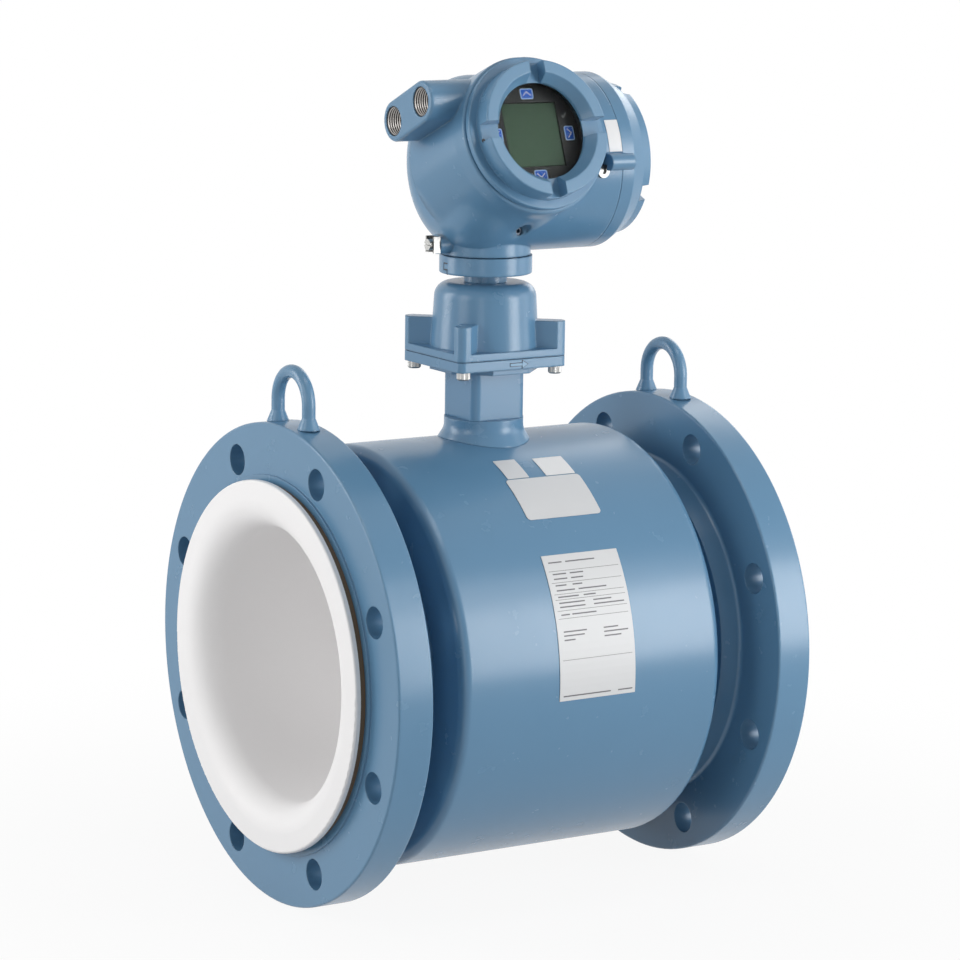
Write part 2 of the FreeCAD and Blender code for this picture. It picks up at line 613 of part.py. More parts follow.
COLLAR_Z = "(shell_r + collar_top)"
COLUMN_Z = "(shell_r + collar_top + column_up)"
LOWER_Z = "(shell_r + collar_top + column_up + octagon_up)"
GASKET_Z = "(shell_r + collar_top + column_up + octagon_up + lower_plate)"
UPPER_Z = "(%s + gasket)" % GASKET_Z
RIM_Z = "(%s + upper_plate)" % UPPER_Z
BELL_Z = "(%s + bell_up)" % RIM_Z
BAND_Z = "(%s + band_gap)" % BELL_Z
HEAD_Z = "(%s + band_up + turn_gap)" % BAND_Z
SPIGOT_Z = "(%s + spigot_up)" % BELL_Z
SCREW_X = "(plate_x - 2 * screw_edge_x)"
SCREW_Y = "(plate_y - 2 * screw_edge_y)"
DISPLAY_Z = "(%s + display_up)" % HEAD_Z
REAR_Z = "(%s + rear_up)" % HEAD_Z
GROUND_Z = "(%s + ground_up)" % HEAD_Z
SWIVEL_Z = "(%s + swivel_up)" % HEAD_Z
ENTRY_Z = "(%s + entry_up)" % REAR_Z
ENTRY_BOSS_R = "(entry_r + entry_wall)"
FRONT_BORE = "(front_r - front_wall)"
REAR_BORE = "(rear_r - rear_wall)"


def screw_spots():
    return [("%s %s / 2" % (a, SCREW_X), "%s %s / 2" % (b, SCREW_Y)) for a in ("-", "") for b in ("-", "")]


def neck_collar():
    """The round boss welded to the housing, with its foot shaped to the drum."""
    foot = "(shell_r - 3 * collar_foot)"
    outline = [("wire_hole_r", foot), ("collar_flare_r", foot), ("collar_flare_r", "shell_r - collar_foot"),
               ("collar_r", "shell_r + collar_flare"), ("collar_r", COLLAR_Z), ("wire_hole_r", COLLAR_Z)]
    rounds = [("1.5 * shell_round", [("collar_r", "shell_r + collar_flare")])]
    boss = turned("neck_collar_boss", outline, rounds)
    drum = rod("neck_collar_drum", "shell_r", "2 * shell_half", ("-shell_half", 0, 0), **ALONG)
    piece(cut("neck_collar", boss, [drum]))


def neck_column():
    bar = block("neck_column_bar", "column_side", "column_side", "column_up", (0, 0, COLLAR_Z))
    bar = rounded("neck_column_corners", bar, "column_round", is_upright)
    inside = block("neck_column_inside", "column_side - 2 * column_wall", "column_side - 2 * column_wall",
                   "column_up", (0, 0, COLLAR_Z))
    inside = rounded("neck_column_inside_corners", inside, "column_round - column_wall", is_upright)
    piece(cut("neck_column", bar, [inside]))


def plate(name, height, at_z, inset="0"):
    slab = block(name + "_slab", "plate_x - 2 * %s" % inset, "plate_y - 2 * %s" % inset, height,
                 (0, 0, at_z))
    return rounded(name + "_corners", slab, "plate_round - %s" % inset, is_upright)


def screw_rods(name, radius, low, high):
    return [rod("%s_%d" % (name, index), radius, "%s - %s" % (high, low), (x, y, low))
            for index, (x, y) in enumerate(screw_spots())]


def neck_base():
    """The lower plate with its octagonal boss and the raised flow arrow."""
    octagon = solid("Prism", "neck_base_octagon", {"Circumradius": "octagon_r", "Height": "octagon_up"},
                    (0, 0, COLUMN_Z), Vector(0, 0, 1), "180 / 8")
    octagon.Polygon = 8
    face_y = "(-plate_y / 2 - arrow_up)"
    middle_z = "(%s + lower_plate / 2)" % LOWER_Z
    stem = solid("Box", "flow_arrow_stem", {"Length": "arrow_long / 2", "Width": "2 * arrow_up",
                                            "Height": "arrow_stem"},
                 ("arrow_x", face_y, "%s - arrow_stem / 2" % middle_z))
    tip = solid("Prism", "flow_arrow_tip", {"Circumradius": "arrow_head / sqrt(3)",
                                            "Height": "2 * arrow_up"},
                ("arrow_x + arrow_long / 2 + arrow_head / sqrt(3) / 2", "%s + 2 * arrow_up" % face_y,
                 middle_z),
                **TO_FRONT)
    tip.Polygon = 3
    whole = fused("neck_base_whole", [plate("neck_base", "lower_plate", LOWER_Z), octagon, stem, tip])
    holes = screw_rods("neck_base_hole", "screw_r + screw_fit", COLUMN_Z, GASKET_Z)
    way = rod("neck_base_way", "wire_hole_r", "octagon_up + lower_plate", (0, 0, COLUMN_Z))
    piece(cut("neck_base", whole, holes + [way]))


def neck_gasket():
    sheet_of_rubber = plate("neck_gasket_sheet", "gasket", GASKET_Z, "gasket_in")
    way = rod("neck_gasket_way", "bell_r - bell_wall", "gasket", (0, 0, GASKET_Z))
    holes = screw_rods("neck_gasket_hole", "screw_r + screw_fit", GASKET_Z, UPPER_Z)
    piece(cut("neck_gasket", sheet_of_rubber, holes + [way]))


def neck_bell():
    """The cast bell with its plate, a diagonal rib to each corner, and the spigot for the head."""
    bore = "(spigot_r - spigot_wall)"
    inner = "(bell_r - bell_wall)"
    top = "(bell_r - bell_lean)"
    roof = "(%s - bell_wall)" % BELL_Z
    outline = [(inner, UPPER_Z), ("bell_r", UPPER_Z), ("bell_r", RIM_Z), (top, BELL_Z),
               ("spigot_r", BELL_Z), ("spigot_r", SPIGOT_Z), (bore, SPIGOT_Z), (bore, roof), (inner, roof)]
    rounds = [("bell_round", [(top, BELL_Z)]), ("bell_round - bell_wall", [(inner, roof)])]
    bell = turned("neck_bell_shell", outline, rounds)
    slab = plate("neck_bell_plate", "upper_plate", UPPER_Z)
    tower = plate("neck_bell_tower", "upper_plate + rib_up", UPPER_Z)
    lean = "atan(%s / %s)" % (SCREW_Y, SCREW_X)
    bars = [turned_bar("neck_bell_bar_" + name, "2 * plate_x", "rib_wall", "upper_plate + rib_up",
                       "%s(%s)" % (sign, lean), UPPER_Z) for name, sign in (("rising", ""),
                                                                            ("falling", "-"))]
    ribs = common("neck_bell_ribs", [fused("neck_bell_bars", bars), tower])
    cavity = rod("neck_bell_cavity", inner, "%s - %s - bell_round" % (roof, UPPER_Z), (0, 0, UPPER_Z))
    frame = cut("neck_bell_frame", fused("neck_bell_blank", [slab, ribs]), [cavity])
    holes = screw_rods("neck_bell_hole", "screw_r + screw_fit", UPPER_Z, "(%s + screw_grip + 1)" % UPPER_Z)
    piece(cut("neck_bell", fused("neck_bell_whole", [frame, bell]), holes))


def neck_screws():
    """Socket-head screws that come up through the lower plate at its corners."""
    screws = []
    head_z = "(%s - screw_head)" % LOWER_Z
    for index, (x, y) in enumerate(screw_spots()):
        head = rod("neck_screw_head_%d" % index, "screw_head_r", "screw_head", (x, y, head_z))
        stem = rod("neck_screw_stem_%d" % index, "screw_r", "lower_plate + gasket + screw_grip",
                   (x, y, LOWER_Z))
        socket = solid("Prism", "neck_screw_socket_%d" % index,
                       {"Circumradius": "screw_socket_r", "Height": "screw_head / 2"}, (x, y, head_z))
        screws.append(cut("neck_screw_%d" % index, fused("neck_screw_blank_%d" % index, [head, stem]),
                          [socket]))
    grouped = doc.addObject("Part::Compound", "neck_screws")
    grouped.Links = screws
    piece(grouped)


def joint_band():
    """The band round the spigot, with the bracket-shaped cut of its tongue."""
    inner = "(spigot_r + inner_fit)"
    top = "(%s + band_up)" % BAND_Z
    outline = [(inner, BAND_Z), ("band_r", BAND_Z), ("band_r", top), (inner, top)]
    ring = turned("joint_band_ring", outline, [("1.2 * band_slot", [("band_r", BAND_Z)])])
    cuts = []
    for name, y, z, wide, high in (
            ("side", "tongue_y + tongue_wide / 2", "tongue_up", "band_slot", "tongue_high"),
            ("top", "tongue_y", "tongue_up + tongue_high - band_slot", "tongue_wide", "band_slot"),
            ("foot", "tongue_y", "tongue_up", "tongue_wide", "band_slot"),
            ("slit", "tongue_y - tongue_wide / 2 + band_slot / 2", "0", "band_slot",
             "tongue_up + band_slot")):
        cuts.append(block("joint_band_cut_" + name, "2 * band_slot", wide, high,
                          ("-band_r", y, "%s + %s" % (BAND_Z, z))))
    piece(cut("joint_band", ring, cuts))


def neck_board():
    board = rod("neck_board_disc", "board_r", "board_up", (0, 0, GASKET_Z))
    way = rod("neck_board_way", "board_hole_r", "board_up", (0, 0, GASKET_Z))
    piece(cut("neck_connection_board", board, [way]))


# ---- transmitter head ----

def entry_spot(sign):
    return ("entry_y %s entry_pitch / 2 * cos(entry_tilt)" % ("-" if sign > 0 else "+"),
            "%s %s entry_pitch / 2 * sin(entry_tilt)" % (ENTRY_Z, "+" if sign > 0 else "-"))


def entry_boss():
    """The flat-sided boss that carries both conduit entries."""
    parts = []
    for name, sign in (("front", 1), ("back", -1)):
        y, z = entry_spot(sign)
        parts.append(rod("entry_boss_" + name, ENTRY_BOSS_R, "entry_face_x", ("-entry_face_x", y, z),
                         **ALONG))
    web = solid("Box", "entry_boss_web",
                {"Length": "entry_face_x", "Width": "entry_pitch", "Height": "2 * " + ENTRY_BOSS_R},
                ("-entry_face_x",
                 "entry_y - entry_pitch / 2 * cos(entry_tilt) - %s * sin(entry_tilt)" % ENTRY_BOSS_R,
                 "%s + entry_pitch / 2 * sin(entry_tilt) - %s * cos(entry_tilt)" % (ENTRY_Z, ENTRY_BOSS_R)),
                Vector(1, 0, 0), "-entry_tilt")
    whole = fused("entry_boss_blank", parts + [web])
    face = -number("entry_face_x")
    return rounded("entry_boss", whole, "entry_edge",
                   lambda edge: all(near(corner.X, face) for corner in edge.Vertexes))


def ruled(name, first, last):
    """A solid of straight lines between two circles."""
    loft = doc.addObject("Part::Loft", name)
    loft.Sections = [first, last]
    loft.Solid = True
    loft.Ruled = True
    return loft


def front_barrel():
    """The barrel behind the display, widening towards its closed end, and the skirt down to the collar."""
    start = "(front_face_s - front_straight)"
    mouth = turned("front_barrel_mouth", [(0, start), ("front_r", start), ("front_r", "front_face_s"),
                                          (0, "front_face_s")],
                   [("front_edge", [("front_r", "front_face_s")])], DISPLAY, ("display_x", 0, DISPLAY_Z))
    ring = solid("Circle", "front_barrel_ring", {"Radius": "front_r"}, on_display("0", "0", start),
                 **DISPLAY)
    end = solid("Circle", "front_barrel_end", {"Radius": "front_r + front_flare"},
                on_display("0", "-front_back_drop", "-front_back_s"), **DISPLAY)
    foot = solid("Circle", "skirt_foot", {"Radius": "head_collar_r"}, (0, 0, "%s + skirt_up" % HEAD_Z))
    top = solid("Circle", "skirt_top", {"Radius": "front_r"},
                on_display("0", "0", start + " - skirt_back"), **DISPLAY)
    return [mouth, ruled("front_barrel_taper", ring, end), ruled("casting_skirt", foot, top)]


def rear_barrel():
    outline = [(0, "-rear_blind_x"), ("rear_r", "-rear_blind_x"), ("rear_r", "rear_face_x"),
               (0, "rear_face_x")]
    return turned("rear_barrel", outline, [("rear_blind_round", [("rear_r", "-rear_blind_x")])],
                  ALONG, (0, 0, REAR_Z))


def on_rear(angle, radius):
    """Y and Z of a point on the display side of the terminal barrel."""
    return "-(%s) * cos(%s)" % (radius, angle), "%s + (%s) * sin(%s)" % (REAR_Z, radius, angle)


def head_housing():
    """The cast head: two crossing chambers on a turning collar."""
    collar = rod("head_collar", "head_collar_r", "head_collar_up", (0, 0, HEAD_Z))
    ground = rod("ground_boss", "ground_boss_r", "ground_boss_x", ("-ground_boss_x", 0, GROUND_Z), **ALONG)
    pin_y, pin_z = on_rear("pin_angle", "rear_r + pin_boss_r + 2 * cover_gap")
    pin = rod("pin_boss", "pin_boss_r", "pin_boss_end - pin_boss_x", ("pin_boss_x", pin_y, pin_z), **ALONG)
    web = solid("Box", "pin_boss_web", {"Length": "rear_face_x - pin_boss_x", "Width": "2 * pin_boss_r",
                                        "Height": "2 * pin_boss_r"},
                ("pin_boss_x", pin_y, "%s - pin_boss_r" % pin_z))
    blank = fused("head_blank", front_barrel() + [rear_barrel(), collar, entry_boss(), ground, pin, web])
    tools = [rod("front_chamber", FRONT_BORE, "front_face_s - front_floor_s + 1",
                 on_display("0", "0", "front_floor_s"), **DISPLAY),
             rod("front_clearing", "front_r", "rear_r", on_display("0", "0", "front_face_s"), **DISPLAY),
             rod("rear_chamber", REAR_BORE, "rear_face_x - rear_floor_x + 1", ("rear_floor_x", 0, REAR_Z),
                 **ALONG),
             rod("spigot_socket", "spigot_r + turn_fit", "socket_up", (0, 0, HEAD_Z)),
             rod("wire_way", "wire_way_r", "wire_way_up", (0, 0, HEAD_Z)),
             rod("ground_hole", "ground_screw_r + screw_fit", "ground_deep + 1",
                 ("-ground_boss_x - 1", 0, GROUND_Z), **ALONG),
             rod("swivel_spot", "swivel_seat_r", "head_collar_r",
                 ("swivel_x", "-swivel_seat_y", SWIVEL_Z), **TO_FRONT),
             rod("swivel_hole", "swivel_r + screw_fit", "swivel_seat_y - spigot_r - 2 * turn_fit + 1",
                 ("swivel_x", "-spigot_r - 2 * turn_fit", SWIVEL_Z), **TO_FRONT)]
    seat_y, seat_z = on_rear("-lock_angle", "rear_r - lock_deep")
    tools.append(rod("lock_seat", "lock_r + screw_fit", "2 * lock_deep", ("lock_x", seat_y, seat_z),
                     Vector(1, 0, 0), "90 + lock_angle"))
    for name, sign in (("front", 1), ("back", -1)):
        y, z = entry_spot(sign)
        tools.append(rod("entry_%s" % name, "entry_r", "entry_deep + 1", ("-entry_face_x - 1", y, z),
                         **ALONG))
        inward = "entry_face_x" if sign > 0 else "entry_face_x + rear_floor_x + 1"
        tools.append(rod("entry_%s_wires" % name, "entry_wire_r", inward, ("-entry_face_x", y, z), **ALONG))
    piece(cut("head_housing", blank, tools))


def lock_screw():
    seat_y, seat_z = on_rear("-lock_angle", "rear_r - lock_deep")
    way = {"axis": Vector(1, 0, 0), "turn": "90 + lock_angle"}
    body = rod("lock_screw_body", "lock_r", "lock_deep + lock_up", ("lock_x", seat_y, seat_z), **way)
    top_y, top_z = on_rear("-lock_angle", "rear_r")
    hole = rod("lock_screw_socket", "lock_hole_r", "lock_deep", ("lock_x", top_y, top_z), **way)
    piece(cut("cover_lock_screw", body, [hole]))


def swivel_screw():
    top = "(swivel_seat_y - swivel_sunk)"
    body = rod("swivel_screw_body", "swivel_r", "%s - spigot_r - 2 * turn_fit" % top,
               ("swivel_x", "-spigot_r - 2 * turn_fit", SWIVEL_Z), **TO_FRONT)
    socket = solid("Prism", "swivel_screw_socket", {"Circumradius": "swivel_r / 2", "Height": "swivel_r"},
                   ("swivel_x", "-%s + swivel_r" % top, SWIVEL_Z), **TO_FRONT)
    piece(cut("swivel_lock_screw", body, [socket]))


def ground_terminal():
    face = "(-ground_boss_x - clamp_wall)"
    back = block("ground_clamp_back", "clamp_wall", "clamp_side", "clamp_side",
                 ("-ground_boss_x - clamp_wall / 2", 0, "%s - clamp_side / 2" % GROUND_Z))
    cheeks = [block("ground_clamp_" + name, "clamp_deep", "clamp_wall", "clamp_side",
                    ("-ground_boss_x - clamp_deep / 2", "%s(clamp_side - clamp_wall) / 2" % sign,
                     "%s - clamp_side / 2" % GROUND_Z)) for name, sign in (("near", "-"), ("far", ""))]
    hole = rod("ground_clamp_hole", "ground_screw_r + screw_fit", "clamp_deep",
               ("-ground_boss_x - clamp_deep + 1", 0, GROUND_Z), **ALONG)
    piece(cut("ground_clamp", fused("ground_clamp_blank", [back] + cheeks), [hole]))
    stem = rod("ground_screw_stem", "ground_screw_r", "clamp_wall + ground_deep - 1",
               (face, 0, GROUND_Z), **ALONG)
    head = rod("ground_screw_head", "ground_head_r", "ground_head",
               ("%s - ground_head" % face, 0, GROUND_Z), **ALONG)
    slot = block("ground_screw_slot", "ground_head / 2", "2 * ground_head_r", "ground_head_r / 4",
                 ("%s - ground_head" % face, 0, "%s - ground_head_r / 8" % GROUND_Z))
    piece(cut("ground_screw", fused("ground_screw_blank", [stem, head]), [slot]))


# ---- covers ----

RIM_BACK = "(front_face_s + cover_gap)"
RIM_FRONT = "(front_face_s + cover_gap + front_rim)"
CASTLE_TOP = "(front_face_s + cover_gap + front_rim + castle_up)"
LIP_TOP = "(%s - lip_sunk)" % CASTLE_TOP
LIP_BACK = "(%s - lip_sunk - lip_wall)" % CASTLE_TOP
GLASS_FRONT = "(%s - seal_wall)" % LIP_BACK
GLASS_BACK = "(%s - glass_wall)" % GLASS_FRONT
REAR_BACK = "(rear_face_x + cover_gap)"
REAR_CONE_X = "(rear_face_x + cover_gap + rear_skirt)"
REAR_FOOT_X = "(rear_face_x + cover_gap + rear_skirt + rear_cone)"
REAR_TOP_X = "(%s + rear_castle_up)" % REAR_FOOT_X
CUP_R = "(%s - thread_fit - front_cup_wall)" % FRONT_BORE
RIM_R = "(front_r - front_rim_in)"
CASTLE_FOOT = "(%s - castle_ledge)" % RIM_R
CASTLE_R = "(%s - castle_lean)" % CASTLE_FOOT
CASTLE_IN = "(%s - castle_wall)" % CASTLE_R
LIP_R = "(%s - lip_step)" % CASTLE_IN
GLASS_R = "(%s - glass_fit)" % CUP_R
DISPLAY_R = "(%s - display_fit)" % CUP_R


def cross(name, length, width, height, turn="0"):
    """Two crossing bars round the local Z axis, for the notches of a castle ring."""
    bars = [turned_bar("%s_bar_%s" % (name, angle), length, width, height, "(%s + %s)" % (turn, angle))
            for angle in ("0", "90")]
    return fused(name, bars)


def front_cover():
    plug_r = "(%s - thread_fit)" % FRONT_BORE
    plug_end = "(%s - front_plug)" % RIM_BACK
    groove_r = "(%s + 2 * ring_r + 2 * ring_fit)" % plug_r
    groove_s = "(front_face_s + 2 * ring_r + 2 * ring_fit)"
    outline = [(CUP_R, plug_end), (plug_r, plug_end), (plug_r, groove_s), (groove_r, groove_s),
               (groove_r, RIM_BACK), (RIM_R, RIM_BACK), (RIM_R, RIM_FRONT), (CASTLE_FOOT, RIM_FRONT),
               (CASTLE_R, CASTLE_TOP), (CASTLE_IN, CASTLE_TOP), (LIP_R, LIP_TOP), (LIP_R, LIP_BACK),
               (CUP_R, LIP_BACK)]
    rounds = [("castle_edge", [(CASTLE_R, CASTLE_TOP), (CASTLE_IN, CASTLE_TOP), (RIM_R, RIM_FRONT),
                               (RIM_R, RIM_BACK)])]
    ring = turned("front_cover_ring", outline, rounds, DISPLAY, ("display_x", 0, DISPLAY_Z))
    notches = cross("front_cover_notches", "4 * " + CASTLE_R, "notch_width", "2 * notch_deep")
    seat(notches, on_display("0", "0", "%s - notch_deep" % CASTLE_TOP), **DISPLAY)
    hole = rod("front_cover_pin_hole", "pin_hole_r", "castle_wall / 2",
               on_display("-" + CASTLE_FOOT, "-pin_hole_drop", RIM_FRONT + " + pin_hole_up"), **ALONG)
    piece(cut("front_cover", ring, [notches, hole]))


def window():
    """The glass, the seal in front of it and the ring that holds it from behind."""
    at = ("display_x", 0, DISPLAY_Z)
    piece(turned("front_window", [(0, GLASS_BACK), (GLASS_R, GLASS_BACK), (GLASS_R, GLASS_FRONT),
                                  (0, GLASS_FRONT)], way=DISPLAY, at=at))
    seal_in = "(%s + seal_wall)" % LIP_R
    piece(turned("window_seal", [(seal_in, GLASS_FRONT), (GLASS_R, GLASS_FRONT), (GLASS_R, LIP_BACK),
                                 (seal_in, LIP_BACK)], way=DISPLAY, at=at))
    back = "(%s - retainer_wall)" % GLASS_BACK
    inner = "(%s - retainer_band)" % GLASS_R
    piece(turned("window_retainer", [(inner, back), (GLASS_R, back), (GLASS_R, GLASS_BACK),
                                     (inner, GLASS_BACK)], way=DISPLAY, at=at))


def rear_cover():
    plug_r = "(%s - thread_fit)" % REAR_BORE
    plug_end = "(%s - rear_plug)" % REAR_BACK
    groove_r = "(%s + 2 * ring_r + 2 * ring_fit)" % plug_r
    groove_x = "(rear_face_x + 2 * ring_r + 2 * ring_fit)"
    cup_x = "(%s - rear_cover_wall)" % REAR_FOOT_X
    cup = "(%s - rear_cup_wall)" % plug_r
    foot = "(rear_r - rear_cone_in)"
    castle = "(%s - rear_castle_in)" % foot
    inner = "(%s - rear_castle_wall)" % castle
    outline = [(cup, plug_end), (plug_r, plug_end), (plug_r, groove_x), (groove_r, groove_x),
               (groove_r, REAR_BACK), ("rear_r", REAR_BACK), ("rear_r", REAR_CONE_X),
               (foot, REAR_FOOT_X), (castle, REAR_TOP_X), (inner, REAR_TOP_X),
               (inner, REAR_FOOT_X), (0, REAR_FOOT_X), (0, cup_x), (cup, cup_x)]
    rounds = [("castle_edge", [(castle, REAR_TOP_X), (inner, REAR_TOP_X)]),
              ("2 * castle_edge", [("rear_r", REAR_CONE_X)])]
    lid = turned("rear_cover_lid", outline, rounds, ALONG, (0, 0, REAR_Z))
    notches = cross("rear_cover_notches", "4 * rear_r", "notch_width", "2 * rear_notch_deep",
                    "rear_notch_turn")
    seat(notches, ("%s - rear_notch_deep" % REAR_TOP_X, 0, REAR_Z), **ALONG)
    piece(cut("rear_cover", lid, [notches]))


def cover_rings():
    """The O-ring in the corner between each cover's thread and its rim."""
    middle = "(ring_r + ring_fit)"
    for name, bore, face, way, at in (
            ("front_o_ring", FRONT_BORE, "front_face_s", DISPLAY, on_display("0", "0",
                                                                             "front_face_s + " + middle)),
            ("rear_o_ring", REAR_BORE, "rear_face_x", ALONG, ("rear_face_x + " + middle, 0, REAR_Z))):
        piece(solid("Torus", name, {"Radius1": "%s - thread_fit + %s" % (bore, middle), "Radius2": "ring_r"},
                    at, **way))


# ---- inside the head ----

def electronics():
    piece(rod("electronics_module", "%s - stack_fit" % FRONT_BORE, "stack_top_s - front_floor_s",
              on_display("0", "0", "front_floor_s"), **DISPLAY))
    disc = rod("display_disc", DISPLAY_R, "display_face_s - stack_top_s",
               on_display("0", "0", "stack_top_s"),
               **DISPLAY)
    frame_x = "(lcd_x + 2 * lcd_fit)"
    frame_y = "(lcd_y + 2 * lcd_fit)"
    floor_s = "(display_face_s - lcd_sunk - lcd_wall)"
    pocket = solid("Box", "display_pocket", {"Length": frame_x, "Width": frame_y,
                                             "Height": "2 * lcd_sunk + lcd_wall"},
                   on_display("-%s / 2" % frame_x, "-%s / 2" % frame_y, floor_s), **DISPLAY)
    piece(cut("display_module", disc, [pocket]))
    piece(solid("Box", "display_panel", {"Length": "lcd_x", "Width": "lcd_y", "Height": "lcd_wall"},
                on_display("-lcd_x / 2", "-lcd_y / 2", floor_s), **DISPLAY))
    keys = []
    out = "(%s - key_in)" % DISPLAY_R
    for name, x, y, wide, high in (("up", "0", out, "key_long", "key_short"),
                                   ("down", "0", "-" + out, "key_long", "key_short"),
                                   ("left", "-" + out, "0", "key_short", "key_long"),
                                   ("right", out, "0", "key_short", "key_long")):
        cap = solid("Box", "key_cap_" + name, {"Length": wide, "Width": high, "Height": "key_up"})
        cap = rounded("key_" + name, cap, "key_round", is_upright)
        keys.append(seat(cap, on_display("%s - %s / 2" % (x, wide), "%s - %s / 2" % (y, high),
                                         "display_face_s"),
                         **DISPLAY))
    grouped = doc.addObject("Part::Compound", "display_keys")
    grouped.Links = keys
    piece(grouped)


def terminals():
    radius = "(%s - terminal_fit)" % REAR_BORE
    disc = rod("terminal_disc", radius, "terminal_up", ("rear_floor_x", 0, REAR_Z), **ALONG)
    top = block("terminal_top", "2 * terminal_up", "2 * " + radius, radius,
                ("rear_floor_x + terminal_up", 0, "%s + terminal_flat" % REAR_Z))
    piece(cut("terminal_block", disc, [top]))
    screws = []
    count = int(number("terminal_count"))
    for row, level in enumerate(("- terminal_pitch / 2", "+ terminal_pitch / 2")):
        z = REAR_Z + level
        for index in range(count):
            y = "terminal_pitch * %g" % (index - (count - 1) / 2)
            at = ("rear_floor_x + terminal_up", y, z)
            head = rod("terminal_screw_%d_%d" % (row, index), "terminal_screw_r", "terminal_screw_up",
                       at, **ALONG)
            slot = block("terminal_slot_%d_%d" % (row, index), "terminal_screw_up", "2 * terminal_screw_r",
                         "terminal_screw_r / 4", ("rear_floor_x + terminal_up + terminal_screw_up", y, z))
            screws.append(cut("terminal_head_%d_%d" % (row, index), head, [slot]))
    grouped = doc.addObject("Part::Compound", "terminal_screws")
    grouped.Links = screws
    piece(grouped)


flow_tube()
liner()
for side_name, side_sign in (("upstream", "-"), ("downstream", "")):
    flange(side_name, side_sign)
    flare_ring(side_name, side_sign)
    lifting_eye(side_name, side_sign)
coil_housing()
magnets()
flux_return()
electrodes()
neck_collar()
neck_column()
neck_base()
neck_gasket()
neck_bell()
neck_screws()
joint_band()
neck_board()
head_housing()
lock_screw()
swivel_screw()
ground_terminal()
front_cover()
window()
rear_cover()
cover_rings()
electronics()
terminals()
doc.recompute()

faults = [thing.Name for thing in doc.Objects if "Invalid" in thing.State or "Error" in thing.State]
faults += [thing.Name for thing in pieces if thing.Shape.isNull() or not thing.Shape.isValid()]
if faults:
    raise RuntimeError("these objects failed: " + ", ".join(faults))

os.makedirs("parts", exist_ok=True)
for thing in pieces:
    shape = thing.Shape
    box = shape.BoundBox
    print("%-26s %2d solid %9.1f cm3  x %7.1f %7.1f  y %7.1f %7.1f  z %7.1f %7.1f" % (
        thing.Label, len(shape.Solids), shape.Volume / 1000, box.XMin, box.XMax, box.YMin, box.YMax,
        box.ZMin, box.ZMax))
    shape.exportStep("parts/%s.step" % thing.Label)
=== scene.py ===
import bmesh
import bpy
import json
import math
from mathutils import Matrix, Vector


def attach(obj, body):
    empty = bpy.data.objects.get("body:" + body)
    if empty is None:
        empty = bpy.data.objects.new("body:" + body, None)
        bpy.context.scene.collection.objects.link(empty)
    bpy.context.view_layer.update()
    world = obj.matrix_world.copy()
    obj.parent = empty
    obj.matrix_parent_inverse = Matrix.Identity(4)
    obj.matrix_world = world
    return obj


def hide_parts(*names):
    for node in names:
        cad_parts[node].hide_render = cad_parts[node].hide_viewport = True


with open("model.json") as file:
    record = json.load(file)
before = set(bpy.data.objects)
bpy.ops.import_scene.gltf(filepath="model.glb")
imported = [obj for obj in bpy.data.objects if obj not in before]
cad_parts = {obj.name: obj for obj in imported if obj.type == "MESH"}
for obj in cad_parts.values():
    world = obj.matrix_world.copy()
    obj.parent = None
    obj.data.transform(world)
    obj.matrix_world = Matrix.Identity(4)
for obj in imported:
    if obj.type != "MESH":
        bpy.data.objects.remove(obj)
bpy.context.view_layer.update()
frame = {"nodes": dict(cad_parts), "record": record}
MM = 0.001

# ---- arithmetic on shader sockets ----


class Amount:
    """A number that varies over a surface: arithmetic on it adds Math nodes."""

    def __init__(self, finish, socket):
        self.finish = finish
        self.socket = socket

    def sum_of(self, operation, first, second):
        return self.finish.node("ShaderNodeMath", {"operation": operation}, {0: first, 1: second})

    def __add__(self, other):
        return self.sum_of("ADD", self, other)

    def __sub__(self, other):
        return self.sum_of("SUBTRACT", self, other)

    def __rsub__(self, other):
        return self.sum_of("SUBTRACT", other, self)

    def __mul__(self, other):
        return self.sum_of("MULTIPLY", self, other)


